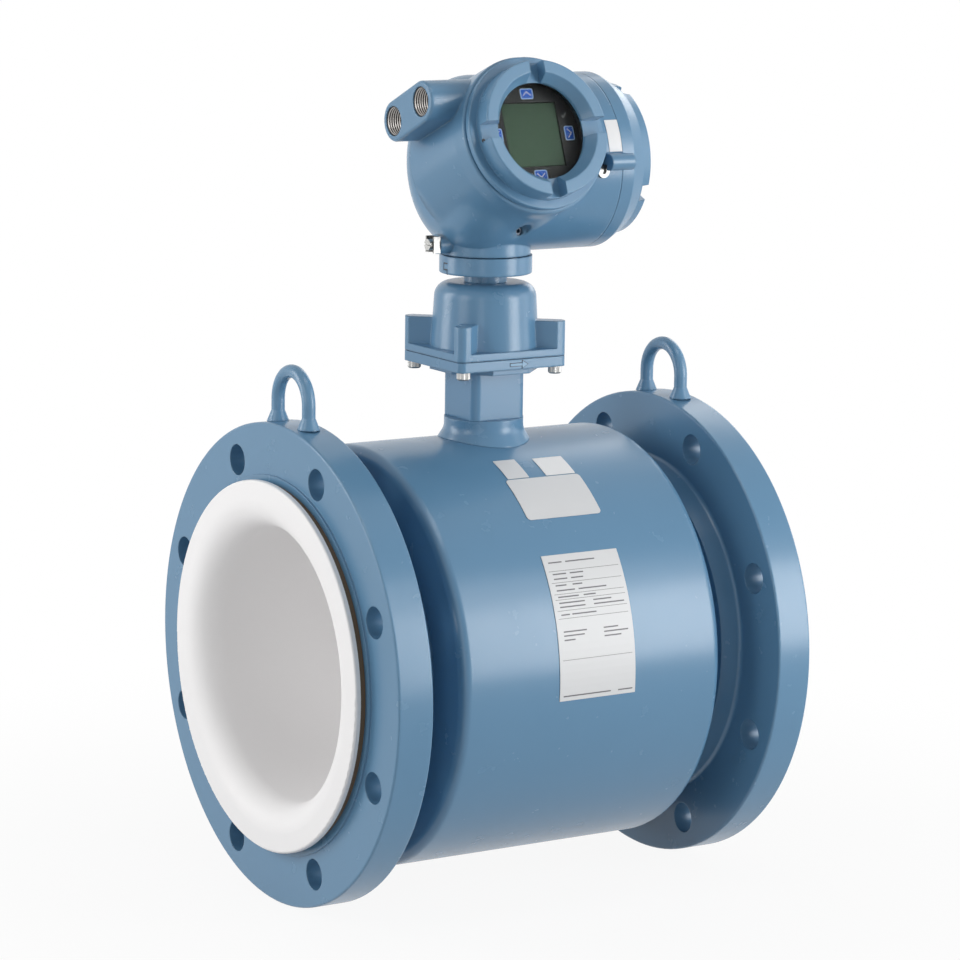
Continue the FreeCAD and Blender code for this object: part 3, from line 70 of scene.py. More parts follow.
class Finish:
    """A material built round one Principled shader."""

    def __init__(self, name, colour, roughness, **sockets):
        self.material = bpy.data.materials.new(name)
        self.material.use_nodes = True
        self.tree = self.material.node_tree
        self.shader = self.tree.nodes["Principled BSDF"]
        self.set("Base Color", (*colour, 1))
        self.set("Roughness", roughness)
        for socket, value in sockets.items():
            self.set(socket.replace("_", " "), value)

    def node(self, kind, settings, inputs, output=0):
        node = self.tree.nodes.new(kind)
        for name, value in settings.items():
            setattr(node, name, value)
        for key, value in inputs.items():
            self.feed(node.inputs[key], value)
        return Amount(self, node.outputs[output])

    def feed(self, socket, value):
        if isinstance(value, Amount):
            self.tree.links.new(value.socket, socket)
        else:
            socket.default_value = value

    def set(self, socket, value):
        self.feed(self.shader.inputs[socket], value)

    def show(self, shader):
        """Put another shader than the Principled one on the surface."""
        self.feed(self.tree.nodes["Material Output"].inputs["Surface"], shader)

    def place(self):
        return self.node("ShaderNodeTexCoord", {}, {}, "Object")

    def along(self, axis):
        """How far a point lies along an axis of its object."""
        return self.node("ShaderNodeSeparateXYZ", {}, {0: self.place()}, axis)

    def speckle(self, scale, detail=3.0, roughness=0.6):
        """Noise between 0 and 1, with so many specks to a metre."""
        return self.node("ShaderNodeTexNoise", {}, {"Vector": self.place(), "Scale": scale,
                                                    "Detail": detail, "Roughness": roughness})

    def blend(self, amount, low, high):
        return self.node("ShaderNodeMix", {"data_type": "RGBA"},
                         {"Factor": amount, 6: (*low, 1), 7: (*high, 1)}, 2)

    def ramp(self, value, start, end):
        """0 at the start value, 1 at the end value."""
        return self.node("ShaderNodeMapRange", {},
                         {"Value": value, "From Min": start, "From Max": end})

    def step_down(self, value, low, high):
        """1 below the low value, 0 above the high one."""
        return self.node("ShaderNodeMapRange", {"interpolation_type": "SMOOTHSTEP"},
                         {"Value": value, "From Min": low, "From Max": high,
                          "To Min": 1.0, "To Max": 0.0})

    def softened(self, radius, samples=4):
        """The surface's normal, with its edges rounded to a radius."""
        return self.node("ShaderNodeBevel", {"samples": samples}, {"Radius": radius})

    def relief(self, height, depth, normal=None):
        """Bump the surface by a height, on top of a normal of its own if one is given."""
        inputs = {"Height": height, "Distance": depth, "Strength": 1.0}
        if normal:
            inputs["Normal"] = normal
        self.set("Normal", self.node("ShaderNodeBump", {}, inputs))


# ---- paint ----

PAINT = ((0.110, 0.243, 0.388), (0.118, 0.255, 0.404))
# the flow arrow's paint is lighter: painted light on its raised top
PAINT_WITH_PAINTED_LIGHT = ((0.150, 0.310, 0.470), (0.160, 0.325, 0.490))
# paint darkened as painted shade, for the swivel lock screw down in its hole
PAINT_WITH_PAINTED_SHADE = ((0.030, 0.070, 0.120), (0.036, 0.080, 0.135))
PATCHES = 14.0
SMEARS = 60.0
SMEAR_SHARE = 0.08
CAST_GRAIN = 420.0
CAST_DEPTH = 0.04 * MM
CAST_GLOSS = 0.26
CAST_EDGE = 1.8 * MM
CREASE_EDGE = 11.0 * MM


def enamel(name, roughness, colours):
    """Blue enamel: glossy and a little uneven."""
    finish = Finish(name, colours[0], roughness, Specular_IOR_Level=0.45)
    finish.set("Base Color", finish.blend(finish.speckle(PATCHES, 2.0), *colours))
    finish.set("Roughness", finish.speckle(SMEARS) * SMEAR_SHARE + (roughness - SMEAR_SHARE / 2))
    return finish


def paint(name, grain, depth, edge, roughness, colours=PAINT):
    """Enamel with a grain, and with its edges rounded if an edge is given."""
    finish = enamel(name, roughness, colours)
    finish.relief(finish.speckle(grain), depth, finish.softened(edge) if edge else None)
    return finish.material


def paint_on_head():
    """Paint on the head's casting, whose skirt runs softly into the barrels."""
    finish = enamel("blue_paint_on_head", CAST_GLOSS, PAINT)
    before_end = finish.step_down(finish.along("X"), 0.030, 0.045)
    under_barrel = finish.step_down(finish.along("Z"), 0.318, 0.336)
    over_collar = 1 - finish.step_down(finish.along("Z"), 0.290, 0.300)
    on_crease = before_end * under_barrel * over_collar
    normal = finish.node("ShaderNodeMix", {"data_type": "VECTOR"},
                         {0: on_crease, 4: finish.softened(CAST_EDGE),
                          5: finish.softened(CREASE_EDGE, 8)}, 1)
    finish.relief(finish.speckle(CAST_GRAIN), CAST_DEPTH, normal)
    return finish.material


smooth_paint = paint("blue_paint", 900.0, 0.02 * MM, 1.2 * MM, 0.26)
cast_paint = paint("blue_paint_on_castings", CAST_GRAIN, CAST_DEPTH, 1.6 * MM, CAST_GLOSS)
cover_paint = paint("blue_paint_on_covers", CAST_GRAIN, 0.03 * MM, 0.8 * MM, CAST_GLOSS)
weld_paint = paint("blue_paint_on_welds", 260.0, 0.5 * MM, 1.0 * MM, 0.38)
# lighter copy of the paint: painted light on the arrow's raised top
paint_with_painted_light = paint("blue_paint_with_painted_light_on_arrow", 600.0, 0.01 * MM, 0.0, 0.26, PAINT_WITH_PAINTED_LIGHT)
# darker copy of the paint: painted shade on the screw down in its hole
paint_with_painted_shade = paint("blue_paint_with_painted_shade", 600.0, 0.05 * MM, 0.8 * MM, 0.35, PAINT_WITH_PAINTED_SHADE)

# ---- other finishes ----

LCD_FOOT, LCD_TOP = 0.350, 0.392
THREAD_START = -70.4 * MM
THREAD_PITCH = 1.81 * MM


def plain(name, colour, roughness, **sockets):
    return Finish(name, colour, roughness, **sockets).material


def grained(name, colour, roughness, grain, depth, **sockets):
    finish = Finish(name, colour, roughness, **sockets)
    finish.relief(finish.speckle(grain), depth)
    return finish.material


def window_glass():
    """Clear glass: what shows through it, with the faint sheen of its coated faces."""
    finish = Finish("window_glass", (1, 1, 1), 0.02)
    clear = finish.node("ShaderNodeBsdfTransparent", {}, {"Color": (0.97, 0.98, 0.97, 1)})
    sheen = finish.node("ShaderNodeBsdfGlossy", {}, {"Color": (1, 1, 1, 1), "Roughness": 0.02})
    share = finish.node("ShaderNodeFresnel", {}, {"IOR": 1.08})
    finish.show(finish.node("ShaderNodeMixShader", {}, {0: share, 1: clear, 2: sheen}))
    return finish.material


def lcd():
    """The unlit grey-green panel, with painted shade making it a little darker towards its top."""
    finish = Finish("display", (0.052, 0.100, 0.062), 0.35, Specular_IOR_Level=0.08)
    up = finish.ramp(finish.along("Z"), LCD_FOOT, LCD_TOP)
    # painted shade: darker towards the top
    finish.set("Base Color", finish.blend(up, (0.054, 0.102, 0.064), (0.040, 0.078, 0.048)))
    return finish.material


def thread_with_painted_shade():
    """Bare metal in a conduit thread, with painted shade in the roots: bright on the crests, dark
    in the roots.
    """
    finish = Finish("thread_with_painted_shade", (0.4, 0.4, 0.4), 0.3, Metallic=1.0)
    half = THREAD_PITCH / 2
    wave = finish.node("ShaderNodeMath", {"operation": "PINGPONG"},
                       {0: finish.along("X") - THREAD_START, 1: half})
    crest = finish.ramp(wave, 0.25 * half, 0.8 * half)
    # painted shade: the roots are near black
    finish.set("Base Color", finish.blend(crest, (0.030, 0.028, 0.027), (0.46, 0.44, 0.42)))
    return finish.material


FINISHES = {
    "stainless": grained("stainless", (0.42, 0.42, 0.41), 0.38, 700.0, 0.02 * MM, Metallic=1.0),
    "white_liner": grained("white_liner", (0.92, 0.91, 0.91), 0.55, 500.0, 0.02 * MM),
    "brown_ring": grained("brown_ring", (0.150, 0.098, 0.055), 0.6, 500.0, 0.05 * MM),
    "soft_iron": grained("soft_iron", (0.25, 0.25, 0.26), 0.5, 300.0, 0.05 * MM, Metallic=1.0),
    "copper": grained("copper", (0.55, 0.24, 0.11), 0.4, 600.0, 0.1 * MM, Metallic=1.0),
    "electrode_alloy": plain("electrode_alloy", (0.6, 0.6, 0.6), 0.2, Metallic=1.0),
    "insulator": grained("insulator", (0.68, 0.65, 0.55), 0.5, 300.0, 0.02 * MM),
    "screw_steel": grained("screw_steel", (0.40, 0.40, 0.39), 0.34, 800.0, 0.03 * MM, Metallic=1.0),
    "rubber": grained("rubber", (0.012, 0.012, 0.012), 0.6, 400.0, 0.02 * MM),
    "board": plain("board", (0.02, 0.10, 0.035), 0.4),
    "black_plastic": grained("black_plastic", (0.015, 0.016, 0.018), 0.45, 900.0, 0.02 * MM,
                             Specular_IOR_Level=0.15),
    "display": lcd(),
    "keys": plain("key_border", (0.40, 0.58, 0.90), 0.4, Specular_IOR_Level=0.1),
    "window_glass": window_glass(),
}
label_silver = grained("label_silver", (0.66, 0.67, 0.68), 0.42, 60.0, 0.01 * MM)
label_white = plain("label_white", (0.80, 0.80, 0.80), 0.45)
print_grey = plain("print_grey", (0.13, 0.13, 0.14), 0.5)
key_blue = plain("key_blue", (0.030, 0.125, 0.60), 0.4, Specular_IOR_Level=0.1)
mark_white = plain("mark_white", (0.82, 0.84, 0.86), 0.4)
mark_grey = plain("mark_grey", (0.60, 0.61, 0.62), 0.4)
# near-black painted shade, put where the arrow's shadow, the band's cut and the pin hole are
painted_shade_finish = plain("painted_shade_black", (0.010, 0.016, 0.024), 0.5)
gasket_edge = plain("gasket_edge", (0.050, 0.100, 0.155), 0.6)
clamp_steel = grained("clamp_steel", (0.22, 0.22, 0.215), 0.30, 800.0, 0.03 * MM, Metallic=1.0)
bare_casting = thread_with_painted_shade()

# ---- what each plain piece wears ----

OWN_FINISHES = {
    "head_housing": paint_on_head(),
    "front_cover": cover_paint,
    "rear_cover": cover_paint,
    "neck_bell": cast_paint,
    "neck_base": cast_paint,
    "neck_collar": cast_paint,
    "joint_band": cast_paint,
    "flow_tube": smooth_paint,
    "swivel_lock_screw": paint_with_painted_shade,
    "neck_gasket": gasket_edge,
    "ground_clamp": clamp_steel,
    "cover_lock_screw": clamp_steel,
}
SLOT_FINISHES = {"blue_paint": smooth_paint, **FINISHES}

for part in frame["record"]["subparts"]:
    name = part["node"]
    mesh = frame["nodes"][name].data
    mesh.materials.clear()
    mesh.materials.append(OWN_FINISHES.get(name) or SLOT_FINISHES[part["material_slot"]])

# ---- modelling helpers ----


def added(name, mesh):
    """A new object in the scene for a mesh."""
    thing = bpy.data.objects.new(name, mesh)
    bpy.context.scene.collection.objects.link(thing)
    return thing


def piece(name, shape, finish, body, smooth=False):
    """Make a finished shape one piece that goes with a body of the meter."""
    bmesh.ops.recalc_face_normals(shape, faces=shape.faces)
    for face in shape.faces:
        face.smooth = smooth
    mesh = bpy.data.meshes.new(name)
    shape.to_mesh(mesh)
    shape.free()
    mesh.materials.append(finish)
    thing = added(name, mesh)
    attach(thing, body)
    return thing


def reshaped(node, body, finish, move):
    """A copy of a plain piece with some of its corners moved, shown in its place."""
    plain_piece = frame["nodes"][node]
    mesh = plain_piece.data.copy()
    mesh.name = node + "_shown"
    for vert in mesh.vertices:
        vert.co = move(vert.co)
    mesh.materials.clear()
    mesh.materials.append(finish)
    thing = added(node + "_shown", mesh)
    thing.matrix_world = plain_piece.matrix_world
    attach(thing, body)
    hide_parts(node)


def add_plate(shape, wide, high, thick, corner=0.0, at=(0, 0), turn=0.0, lift=0.0):
    """A flat plate on the XY plane with rounded corners."""
    made = bmesh.ops.create_grid(shape, x_segments=1, y_segments=1, size=0.5)["verts"]
    bmesh.ops.scale(shape, vec=(wide, high, 1), verts=made)
    if corner:
        made = bmesh.ops.bevel(shape, geom=made, offset=corner, segments=4, profile=0.5,
                               affect="VERTICES", material=-1)["verts"]
    faces = {face for vert in made for face in vert.link_faces}
    grown = bmesh.ops.extrude_face_region(shape, geom=list(faces), use_keep_orig=True)["geom"]
    top = [item for item in grown if isinstance(item, bmesh.types.BMVert)]
    bmesh.ops.translate(shape, vec=(0, 0, thick), verts=top)
    both = list(set(made) | set(top))
    place = Matrix.Translation((at[0], at[1], lift)) @ Matrix.Rotation(turn, 4, "Z")
    bmesh.ops.transform(shape, matrix=place, verts=both)


def slice_across(shape, step):
    """Cut a shape at even steps of Y, so that it can be bent."""
    low = min(vert.co.y for vert in shape.verts)
    high = max(vert.co.y for vert in shape.verts)
    for index in range(1, int((high - low) / step) + 1):
        bmesh.ops.bisect_plane(shape, geom=shape.verts[:] + shape.edges[:] + shape.faces[:],
                               plane_co=(0, low + index * step, 0), plane_no=(0, 1, 0))


def wrap(shape, radius, height=0.0):
    """Bend a flat shape round a drum along X, with Y as the way up its near side."""
    for vert in shape.verts:
        angle = vert.co.y / radius
        out = radius + vert.co.z
        vert.co = (vert.co.x, -out * math.cos(angle), height + out * math.sin(angle))


def turned(shape, outline, axis, centre, steps):
    """Spin a closed outline of (along, radius) corners round an axis."""
    side = Vector((0, 0, 1)) if abs(axis.z) < 0.5 else Vector((1, 0, 0))
    corners = [shape.verts.new(centre + axis * along + side * radius) for along, radius in outline]
    edges = [shape.edges.new((corners[i], corners[i - 1])) for i in range(len(corners))]
    bmesh.ops.spin(shape, geom=corners + edges, cent=centre, axis=axis, angle=2 * math.pi,
                   steps=steps, use_merge=True)
    bmesh.ops.remove_doubles(shape, verts=shape.verts, dist=1e-7)


ALONG_PIPE = Vector((1, 0, 0))
UPRIGHT = Vector((0, 0, 1))
# how far the head leans back, and the display's place: X right, Y up and Z out of its face
TILT = math.radians(20.8)
DISPLAY = Matrix(((1, 0, 0, 3 * MM), (0, math.sin(TILT), -math.cos(TILT), 0),
                  (0, math.cos(TILT), math.sin(TILT), 350 * MM), (0, 0, 0, 1)))

# ---- plates on the coil housing ----

SHELL_R = 151.15 * MM
PLATE_THICK = 0.35 * MM
PRINT_THICK = 0.03 * MM
RULE_THICK = 0.3
BAR_THICK = 0.9


def on_drum(degrees):
    return math.radians(degrees) * SHELL_R


def drum_label(name, x_low, x_high, low, high, corner, finish, strips=()):
    """A plate bent onto the coil housing, from a low to a high angle, with strips printed on it."""
    wide, tall = (x_high - x_low) * MM, on_drum(high) - on_drum(low)
    middle = (on_drum(low) + on_drum(high)) / 2
    shape = bmesh.new()
    add_plate(shape, wide, tall, PLATE_THICK, corner * MM, ((x_low + x_high) / 2 * MM, middle))
    slice_across(shape, 5 * MM)
    wrap(shape, SHELL_R)
    piece(name, shape, finish, "sensor")
    if strips:
        shape = bmesh.new()
        for start, end, down, thick in strips:
            at = ((x_low + (start + end) / 2) * MM, middle + tall / 2 - down * MM)
            add_plate(shape, (end - start) * MM, thick * MM, PRINT_THICK, 0, at, 0, PLATE_THICK)
        wrap(shape, SHELL_R)
        piece(name + "_print", shape, print_grey, "sensor")


def label_print():
    """Ruled fields with bars in them, as on an empty form: (start, end, down, thickness) in mm."""
    strips = [(2.5, 60, down, RULE_THICK) for down in (12.0, 20.4, 28.6, 32.5, 40.2, 45.7, 74.4)]
    rows = ((5.6, ((4, 15), (18, 42))), (14.2, ((5, 16), (19, 30))), (17.7, ((5, 16), (19, 29))),
            (22.4, ((5, 14), (19, 27))), (26.0, ((5, 20), (23, 46))), (30.6, ((5, 22), (26, 36))),
            (34.8, ((5, 26), (33, 48))), (37.7, ((5, 26), (33, 58))), (43.1, ((5, 12), (14, 34))),
            (54.8, ((5, 24), (38, 50))), (57.6, ((5, 22), (38, 58))), (60.6, ((5, 14), (38, 52))),
            (99.6, ((3, 42), (48, 60))))
    for down, bars in rows:
        strips += [(start, end, down, BAR_THICK) for start, end in bars]
    return strips


drum_label("data_plate", -29.0, 33.3, -4.0, 35.0, 0.0, label_silver, label_print())
drum_label("name_plate", -27.7, 33.3, 46.0, 60.7, 3.0, label_silver)
drum_label("code_plate", -24.6, -7.0, 61.1, 69.7, 0.6, label_silver)
drum_label("tag_plate", 7.3, 31.4, 61.1, 69.2, 0.6, label_white)

# ---- plate on the terminal barrel ----

BARREL_R = 63.1 * MM
BARREL_Z = 346.4 * MM
BARREL_LABEL_X = 68.2 * MM
BARREL_LABEL_THICK = 0.25 * MM

shape = bmesh.new()
add_plate(shape, 10.6 * MM, 23.2 * MM, BARREL_LABEL_THICK, 0.4 * MM,
          (BARREL_LABEL_X, TILT * BARREL_R))
slice_across(shape, 2.5 * MM)
wrap(shape, BARREL_R, BARREL_Z)
piece("barrel_label", shape, label_white, "head")

# ---- conduit threads ----

THREAD_TURNS = 9
THREAD_BACK_R = 10.48 * MM
THREAD_ROOT_R = 10.3 * MM
THREAD_CREST_R = 9.3 * MM
THREAD_STEPS = 48
ENTRIES = {"front": (-26.47, 394.33), "back": (10.07, 378.07)}

for name, (y, z) in ENTRIES.items():
    shape = bmesh.new()
    outline = [(THREAD_START, THREAD_BACK_R), (THREAD_START, THREAD_ROOT_R)]
    for turn in range(THREAD_TURNS):
        start = THREAD_START + THREAD_PITCH * turn
        outline += [(start + THREAD_PITCH / 2, THREAD_CREST_R),
                    (start + THREAD_PITCH, THREAD_ROOT_R)]
    outline.append((THREAD_START + THREAD_PITCH * THREAD_TURNS, THREAD_BACK_R))
    turned(shape, outline, ALONG_PIPE, Vector((0, y, z)) * MM, THREAD_STEPS)
    piece(name + "_entry_thread", shape, bare_casting, "head")

# ---- liner and neck, a little reshaped ----

LINER_END = 180.0 * MM
LINER_BORE = 97.47 * MM
ENTRY_PLAIN = 15.0 * MM
ENTRY_SHOWN = 20.0 * MM
BELL_TOP = 262.5 * MM
SPIGOT_R = (18.5 * MM, 19.1 * MM)
SPIGOT_SHARE = 0.81
PLATE_FACE = -40.0 * MM


def rounder_entry(spot):
    """The liner's rounded entry with a larger radius: the flare's back keeps its place."""
    radius = math.hypot(spot.y, spot.z)
    across = radius - LINER_BORE - ENTRY_PLAIN
    deep = LINER_END - abs(spot.x) - ENTRY_PLAIN
    off_arc = abs(math.hypot(across, deep) - ENTRY_PLAIN)
    if max(across, deep, off_arc) > 0.1 * MM:
        return spot
    grow = ENTRY_SHOWN / ENTRY_PLAIN
    wide = (LINER_BORE + ENTRY_SHOWN + across * grow) / radius
    end = math.copysign(LINER_END - ENTRY_SHOWN - deep * grow, spot.x)
    return Vector((end, spot.y * wide, spot.z * wide))


def narrower_spigot(spot):
    """The stub on top of the bell is necked down to four fifths."""
    radius = math.hypot(spot.x, spot.y)
    if spot.z < BELL_TOP - 0.01 * MM or not SPIGOT_R[0] <= radius <= SPIGOT_R[1]:
        return spot
    return Vector((spot.x * SPIGOT_SHARE, spot.y * SPIGOT_SHARE, spot.z))


def without_arrow(spot):
    """The plate's front face is flat, and the arrow comes back as a piece of its own."""
    return Vector((spot.x, max(spot.y, PLATE_FACE), spot.z))


reshaped("liner", "sensor", FINISHES["white_liner"], rounder_entry)
reshaped("neck_bell", "sensor", cast_paint, narrower_spigot)
reshaped("neck_base", "sensor", cast_paint, without_arrow)

# ---- flow arrow, with a painted shadow as the dark line round its foot ----

ARROW_Z = 207.4 * MM
STEM_X, STEM_LONG, STEM_HIGH = 2.1, 10.5, 1.8
HEAD_X, HEAD_R = 8.3, 2.9
SHADOW = 0.45

for name, grow, proud, finish in (("flow_arrow_shadow", SHADOW, 0.06 * MM, painted_shade_finish),
                                  ("flow_arrow", 0.0, 0.5 * MM, paint_with_painted_light)):
    shape = bmesh.new()
    add_plate(shape, (STEM_LONG + 2 * grow) * MM, (STEM_HIGH + 2 * grow) * MM, 0.9 * proud, 0,
              (STEM_X * MM, 0))
    head_r = (HEAD_R + 2 * grow) * MM
    tip = bmesh.ops.create_cone(shape, cap_ends=True, segments=3, radius1=head_r, radius2=head_r,
                                depth=proud)["verts"]
    bmesh.ops.rotate(shape, cent=(0, 0, 0), matrix=Matrix.Rotation(-math.pi / 2, 3, "Z"), verts=tip)
    bmesh.ops.translate(shape, vec=(HEAD_X * MM, 0, proud / 2), verts=tip)
    place = Matrix.Translation((0, PLATE_FACE, ARROW_Z)) @ Matrix.Rotation(math.pi / 2, 4, "X")
    bmesh.ops.transform(shape, matrix=place, verts=shape.verts)
    piece(name, shape, finish, "sensor")

# ---- knurled heads of the neck screws ----

SCREW_X = 38.2 * MM
SCREW_Y = 33.8 * MM
SCREW_STEPS = 56
KNURL_FROM = 4.7 * MM
KNURL_SHARE = 0.95
SCREW_OUTLINE = ((203.8, 1.0), (203.8, 4.6), (202.9, 4.8), (199.2, 4.8), (198.2, 4.0), (198.2, 2.2),
                 (201.0, 2.2), (201.0, 1.0))

shape = bmesh.new()
for x in (-SCREW_X, SCREW_X):
    for y in (-SCREW_Y, SCREW_Y):
        outline = [(up * MM, radius * MM) for up, radius in SCREW_OUTLINE]
        turned(shape, outline, UPRIGHT, Vector((x, y, 0)), SCREW_STEPS)
for vert in shape.verts:
    spot = Vector((math.copysign(SCREW_X, vert.co.x), math.copysign(SCREW_Y, vert.co.y), vert.co.z))
    away = vert.co - spot
    ridge = round(math.atan2(away.y, away.x) / (2 * math.pi) * SCREW_STEPS)
    if away.length > KNURL_FROM and ridge % 2:
        vert.co = spot + away * KNURL_SHARE
heads = piece("neck_screw_heads", shape, FINISHES["screw_steel"], "sensor")
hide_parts("neck_screws")

# ---- the joint band's cut, shown as dark blocks of painted shade ----

BAND_FOOT = 269.0
CUT_X = -32.65
CUT_DEEP = 0.6
CUTS = {"side": (2.9, 3.0, 0.9, 5.4), "top": (0.4, 7.5, 5.0, 0.9), "foot": (0.4, 3.0, 5.0, 0.9),
        "slit": (-1.65, 0.0, 0.9, 3.9)}

shape = bmesh.new()
for y, up, wide, high in CUTS.values():
    made = bmesh.ops.create_cube(shape, size=MM)["verts"]
    bmesh.ops.scale(shape, vec=(CUT_DEEP, wide, high), verts=made)
    bmesh.ops.translate(shape, vec=Vector((CUT_X, y, BAND_FOOT + up + high / 2)) * MM, verts=made)
piece("joint_band_cut_painted_shade", shape, painted_shade_finish, "sensor")

# ---- pin hole in the front cover's ledge, shown as a dark disc of painted shade ----

PIN_SPOT = Vector((-44.86, -67.38, 369.74)) * MM
PIN_R = 1.5 * MM
PIN_PROUD = 0.04 * MM

shape = bmesh.new()
bmesh.ops.create_circle(shape, cap_ends=True, segments=24, radius=PIN_R)
out = DISPLAY.to_3x3().col[2]
facing = out.to_track_quat("Z", "Y").to_matrix().to_4x4()
place = Matrix.Translation(PIN_SPOT + out * PIN_PROUD) @ facing
bmesh.ops.transform(shape, matrix=place, verts=shape.verts)
piece("pin_hole_painted_shade", shape, painted_shade_finish, "front_lid")

# ---- weld beads on the flow tube ----

BEAD_R = 2.6 * MM
BEAD_SEAT = 110.2 * MM
BEADS = {"housing": 108.4, "hub": 125.2}

for side, sign in (("upstream", -1), ("downstream", 1)):
    for spot, x in BEADS.items():
        shape = bmesh.new()
        outline = [(sign * x * MM + BEAD_R * math.cos(angle), BEAD_SEAT + BEAD_R * math.sin(angle))
                   for angle in (math.radians(30 * index) for index in range(12))]
        turned(shape, outline, ALONG_PIPE, Vector((0, 0, 0)), 120)
        piece("%s_%s_weld" % (side, spot), shape, weld_paint, "sensor", True)

# ---- the display's keys and marks ----

KEY_TOP = 60.6 * MM
PANEL_TOP = 60.2 * MM
KEY_RIM = 1.5
KEY_CORNER = 0.8 * MM
KEY_SKIN = 0.05 * MM
STROKE_THICK = 0.04 * MM
KEYS = {"up": (0, 29.4, 10.4, 7.6, 90), "down": (0, -29.4, 10.4, 7.6, -90),
        "left": (-29.4, 0, 7.6, 10.4, 180), "right": (29.4, 0, 7.6, 10.4, 0)}
CHEVRON = ((1.5, 0), (-1.3, 3.1), (-1.3, -3.1))
TICK = (((25.9, 12.9), (27.0, 11.3)), ((27.0, 11.3), (29.6, 15.0)))
RETURN_ARROW = (((-29.6, 13.0), (-25.4, 13.0)), ((-29.6, 13.0), (-28.2, 14.2)),
                ((-29.6, 13.0), (-28.2, 11.8)), ((-25.4, 13.0), (-25.4, 15.0)))


def add_stroke(shape, start, end, wide, lift):
    """A thin bar drawn from one point to another on the display."""
    way = Vector(end) - Vector(start)
    middle = (Vector(start) + Vector(end)) / 2
    add_plate(shape, (way.length + wide) * MM, wide * MM, STROKE_THICK, 0, middle * MM,
              math.atan2(way.y, way.x), lift)


faces = bmesh.new()
chevrons = bmesh.new()
for x, y, wide, high, turn in KEYS.values():
    add_plate(faces, (wide - KEY_RIM) * MM, (high - KEY_RIM) * MM, KEY_SKIN, KEY_CORNER,
              (x * MM, y * MM), 0, KEY_TOP)
    way = Matrix.Rotation(math.radians(turn), 2)
    tip, one, two = (Vector((x, y)) + way @ Vector(spot) for spot in CHEVRON)
    for end in (one, two):
        add_stroke(chevrons, tip, end, 0.55, KEY_TOP + KEY_SKIN)
marks = bmesh.new()
for start, end in TICK + RETURN_ARROW:
    add_stroke(marks, start, end, 0.5, PANEL_TOP)
for shape, name, finish in ((faces, "key_faces", key_blue), (chevrons, "key_chevrons", mark_white),
                            (marks, "display_marks", mark_grey)):
    bmesh.ops.transform(shape, matrix=DISPLAY, verts=shape.verts)
    piece(name, shape, finish, "head")

# ---- floor and background ----

FLOOR_Z = -171.5 * MM
FLOOR_REACH = 6
SHADOW_NEAR, SHADOW_FAR = 0.20, 0.75
WHITE_NEAR = 0.92
WORLD_LIGHT = 0.08


def seen_directly(tree):
    """1 for what the camera sees, straight or in metal and glass; 0 for the light a thing gives."""
    path = tree.nodes.new("ShaderNodeLightPath")
    share = path.outputs["Is Camera Ray"]
    for ray in ("Is Glossy Ray", "Is Transmission Ray"):
        either = tree.nodes.new("ShaderNodeMath")
        either.operation = "MAXIMUM"
        tree.links.new(share, either.inputs[0])
        tree.links.new(path.outputs[ray], either.inputs[1])
        share = either.outputs[0]
    return share


shape = bmesh.new()
bmesh.ops.create_grid(shape, x_segments=1, y_segments=1, size=FLOOR_REACH)
bmesh.ops.translate(shape, vec=(0, 0, FLOOR_Z), verts=shape.verts)
mesh = bpy.data.meshes.new("floor")
shape.to_mesh(mesh)
shape.free()
floor = added("floor", mesh)

pale = Finish("pale_floor", (0.62, 0.62, 0.62), 0.9)
reach = pale.node("ShaderNodeVectorMath", {"operation": "LENGTH"}, {0: pale.place()}, "Value")
white_share = pale.node("ShaderNodeMapRange", {"interpolation_type": "SMOOTHSTEP"},
                        {"Value": reach, "From Min": SHADOW_NEAR, "From Max": SHADOW_FAR,
                         "To Min": WHITE_NEAR, "To Max": 1.0})
white = pale.node("ShaderNodeEmission", {}, {"Color": (1, 1, 1, 1), "Strength": 1.0})
pale.show(pale.node("ShaderNodeMixShader", {},
                    {0: white_share * Amount(pale, seen_directly(pale.tree)),
                     1: Amount(pale, pale.shader.outputs[0]), 2: white}))
mesh.materials.append(pale.material)

world = bpy.data.worlds.new("studio")
bpy.context.scene.world = world
world.use_nodes = True
level = world.node_tree.nodes.new("ShaderNodeMapRange")
level.inputs["To Min"].default_value = WORLD_LIGHT
level.inputs["To Max"].default_value = 1.0
world.node_tree.links.new(seen_directly(world.node_tree), level.inputs["Value"])
backdrop = world.node_tree.nodes["Background"]
backdrop.inputs["Color"].default_value = (1, 1, 1, 1)
world.node_tree.links.new(level.outputs[0], backdrop.inputs["Strength"])

# ---- light ----

LAMP_TARGET = Vector((0, 0, 0.12))
LAMP_AWAY = 2.2
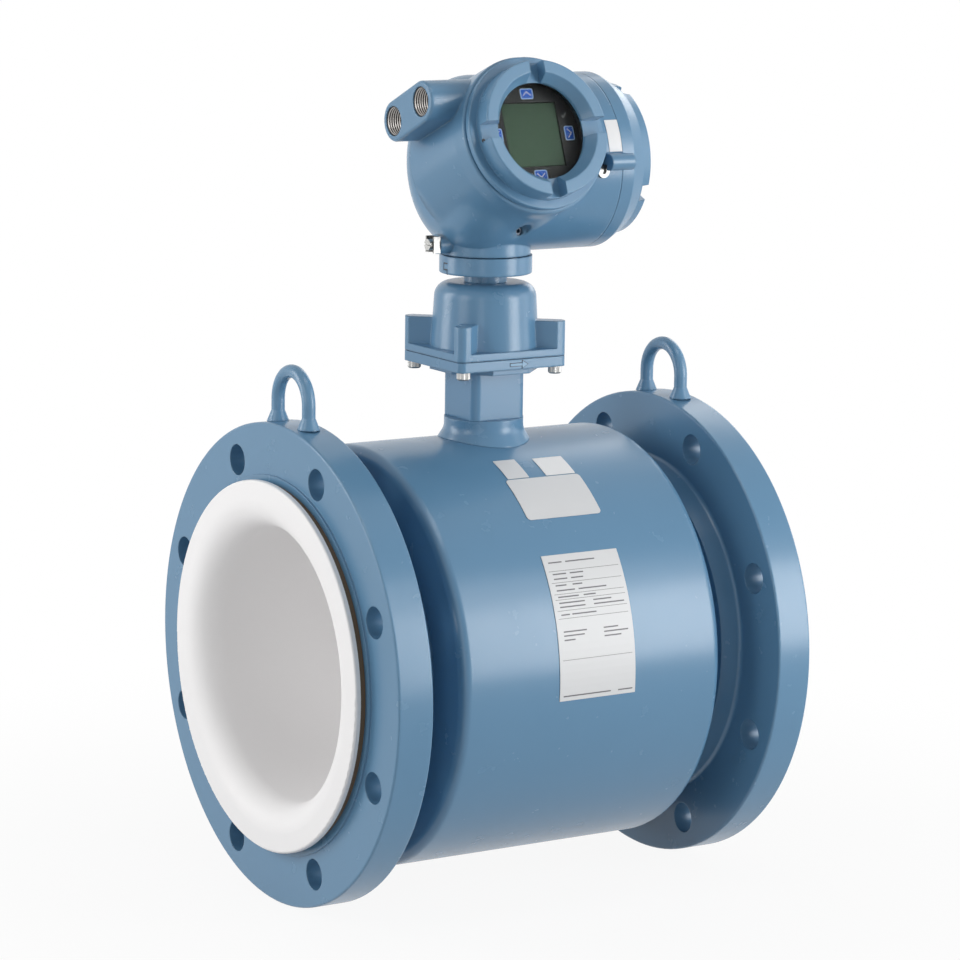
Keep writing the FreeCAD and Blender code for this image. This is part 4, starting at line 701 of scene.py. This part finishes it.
# azimuth (0 on the display's side, 90 at +X), elevation, width, height, power
SOFTBOXES = {
    "key_softbox": (36, 8, 0.9, 1.25, 30),
    "small_softbox": (33, 31, 0.5, 0.5, 3),
    "right_softbox": (68, 12, 0.9, 1.5, 7),
    "left_softbox": (-82, 18, 0.9, 1.5, 12),
    "left_back_softbox": (-125, 14, 0.9, 1.5, 22),
    "narrow_softbox": (-40, 12, 0.3, 1.5, 3),
    "top_softbox": (0, 72, 1.4, 0.6, 9),
    "right_back_softbox": (122, 28, 1.0, 1.4, 8),
}


def outwards(azimuth, elevation):
    """The way from the meter to something that stands round it."""
    level = math.cos(elevation)
    return Vector((math.sin(azimuth) * level, -math.cos(azimuth) * level, math.sin(elevation)))


for name, (azimuth, elevation, wide, high, power) in SOFTBOXES.items():
    lamp = bpy.data.lights.new(name, "AREA")
    lamp.shape = "RECTANGLE"
    lamp.size = wide
    lamp.size_y = high
    lamp.energy = power
    away = outwards(math.radians(azimuth), math.radians(elevation))
    thing = added(name, lamp)
    thing.location = LAMP_TARGET + away * LAMP_AWAY
    thing.rotation_mode = "QUATERNION"
    thing.rotation_quaternion = away.to_track_quat("Z", "Y")

# ---- camera ----

CAMERA_PLACE = (-1.415591, -2.277194, 0.600290)
CAMERA_AZIMUTH = math.radians(-31.5504)
CAMERA_ELEVATION = math.radians(10.3177)
CAMERA_ROLL = math.radians(0.7108)

lens = bpy.data.cameras.new("camera")
lens.sensor_width = 36.0
lens.lens = 141.82
lens.shift_x = 0.01867
lens.shift_y = 0.00837
lens.clip_end = 50.0
camera = added("camera", lens)
back = outwards(CAMERA_AZIMUTH, CAMERA_ELEVATION)
right = (-back).cross(UPRIGHT).normalized()
up = right.cross(-back)
side = right * math.cos(CAMERA_ROLL) + up * math.sin(CAMERA_ROLL)
top = up * math.cos(CAMERA_ROLL) - right * math.sin(CAMERA_ROLL)
facing = Matrix((side, top, back)).transposed().to_4x4()
camera.matrix_world = Matrix.Translation(CAMERA_PLACE) @ facing
bpy.context.scene.camera = camera

view = bpy.context.scene.view_settings
view.view_transform = "Standard"
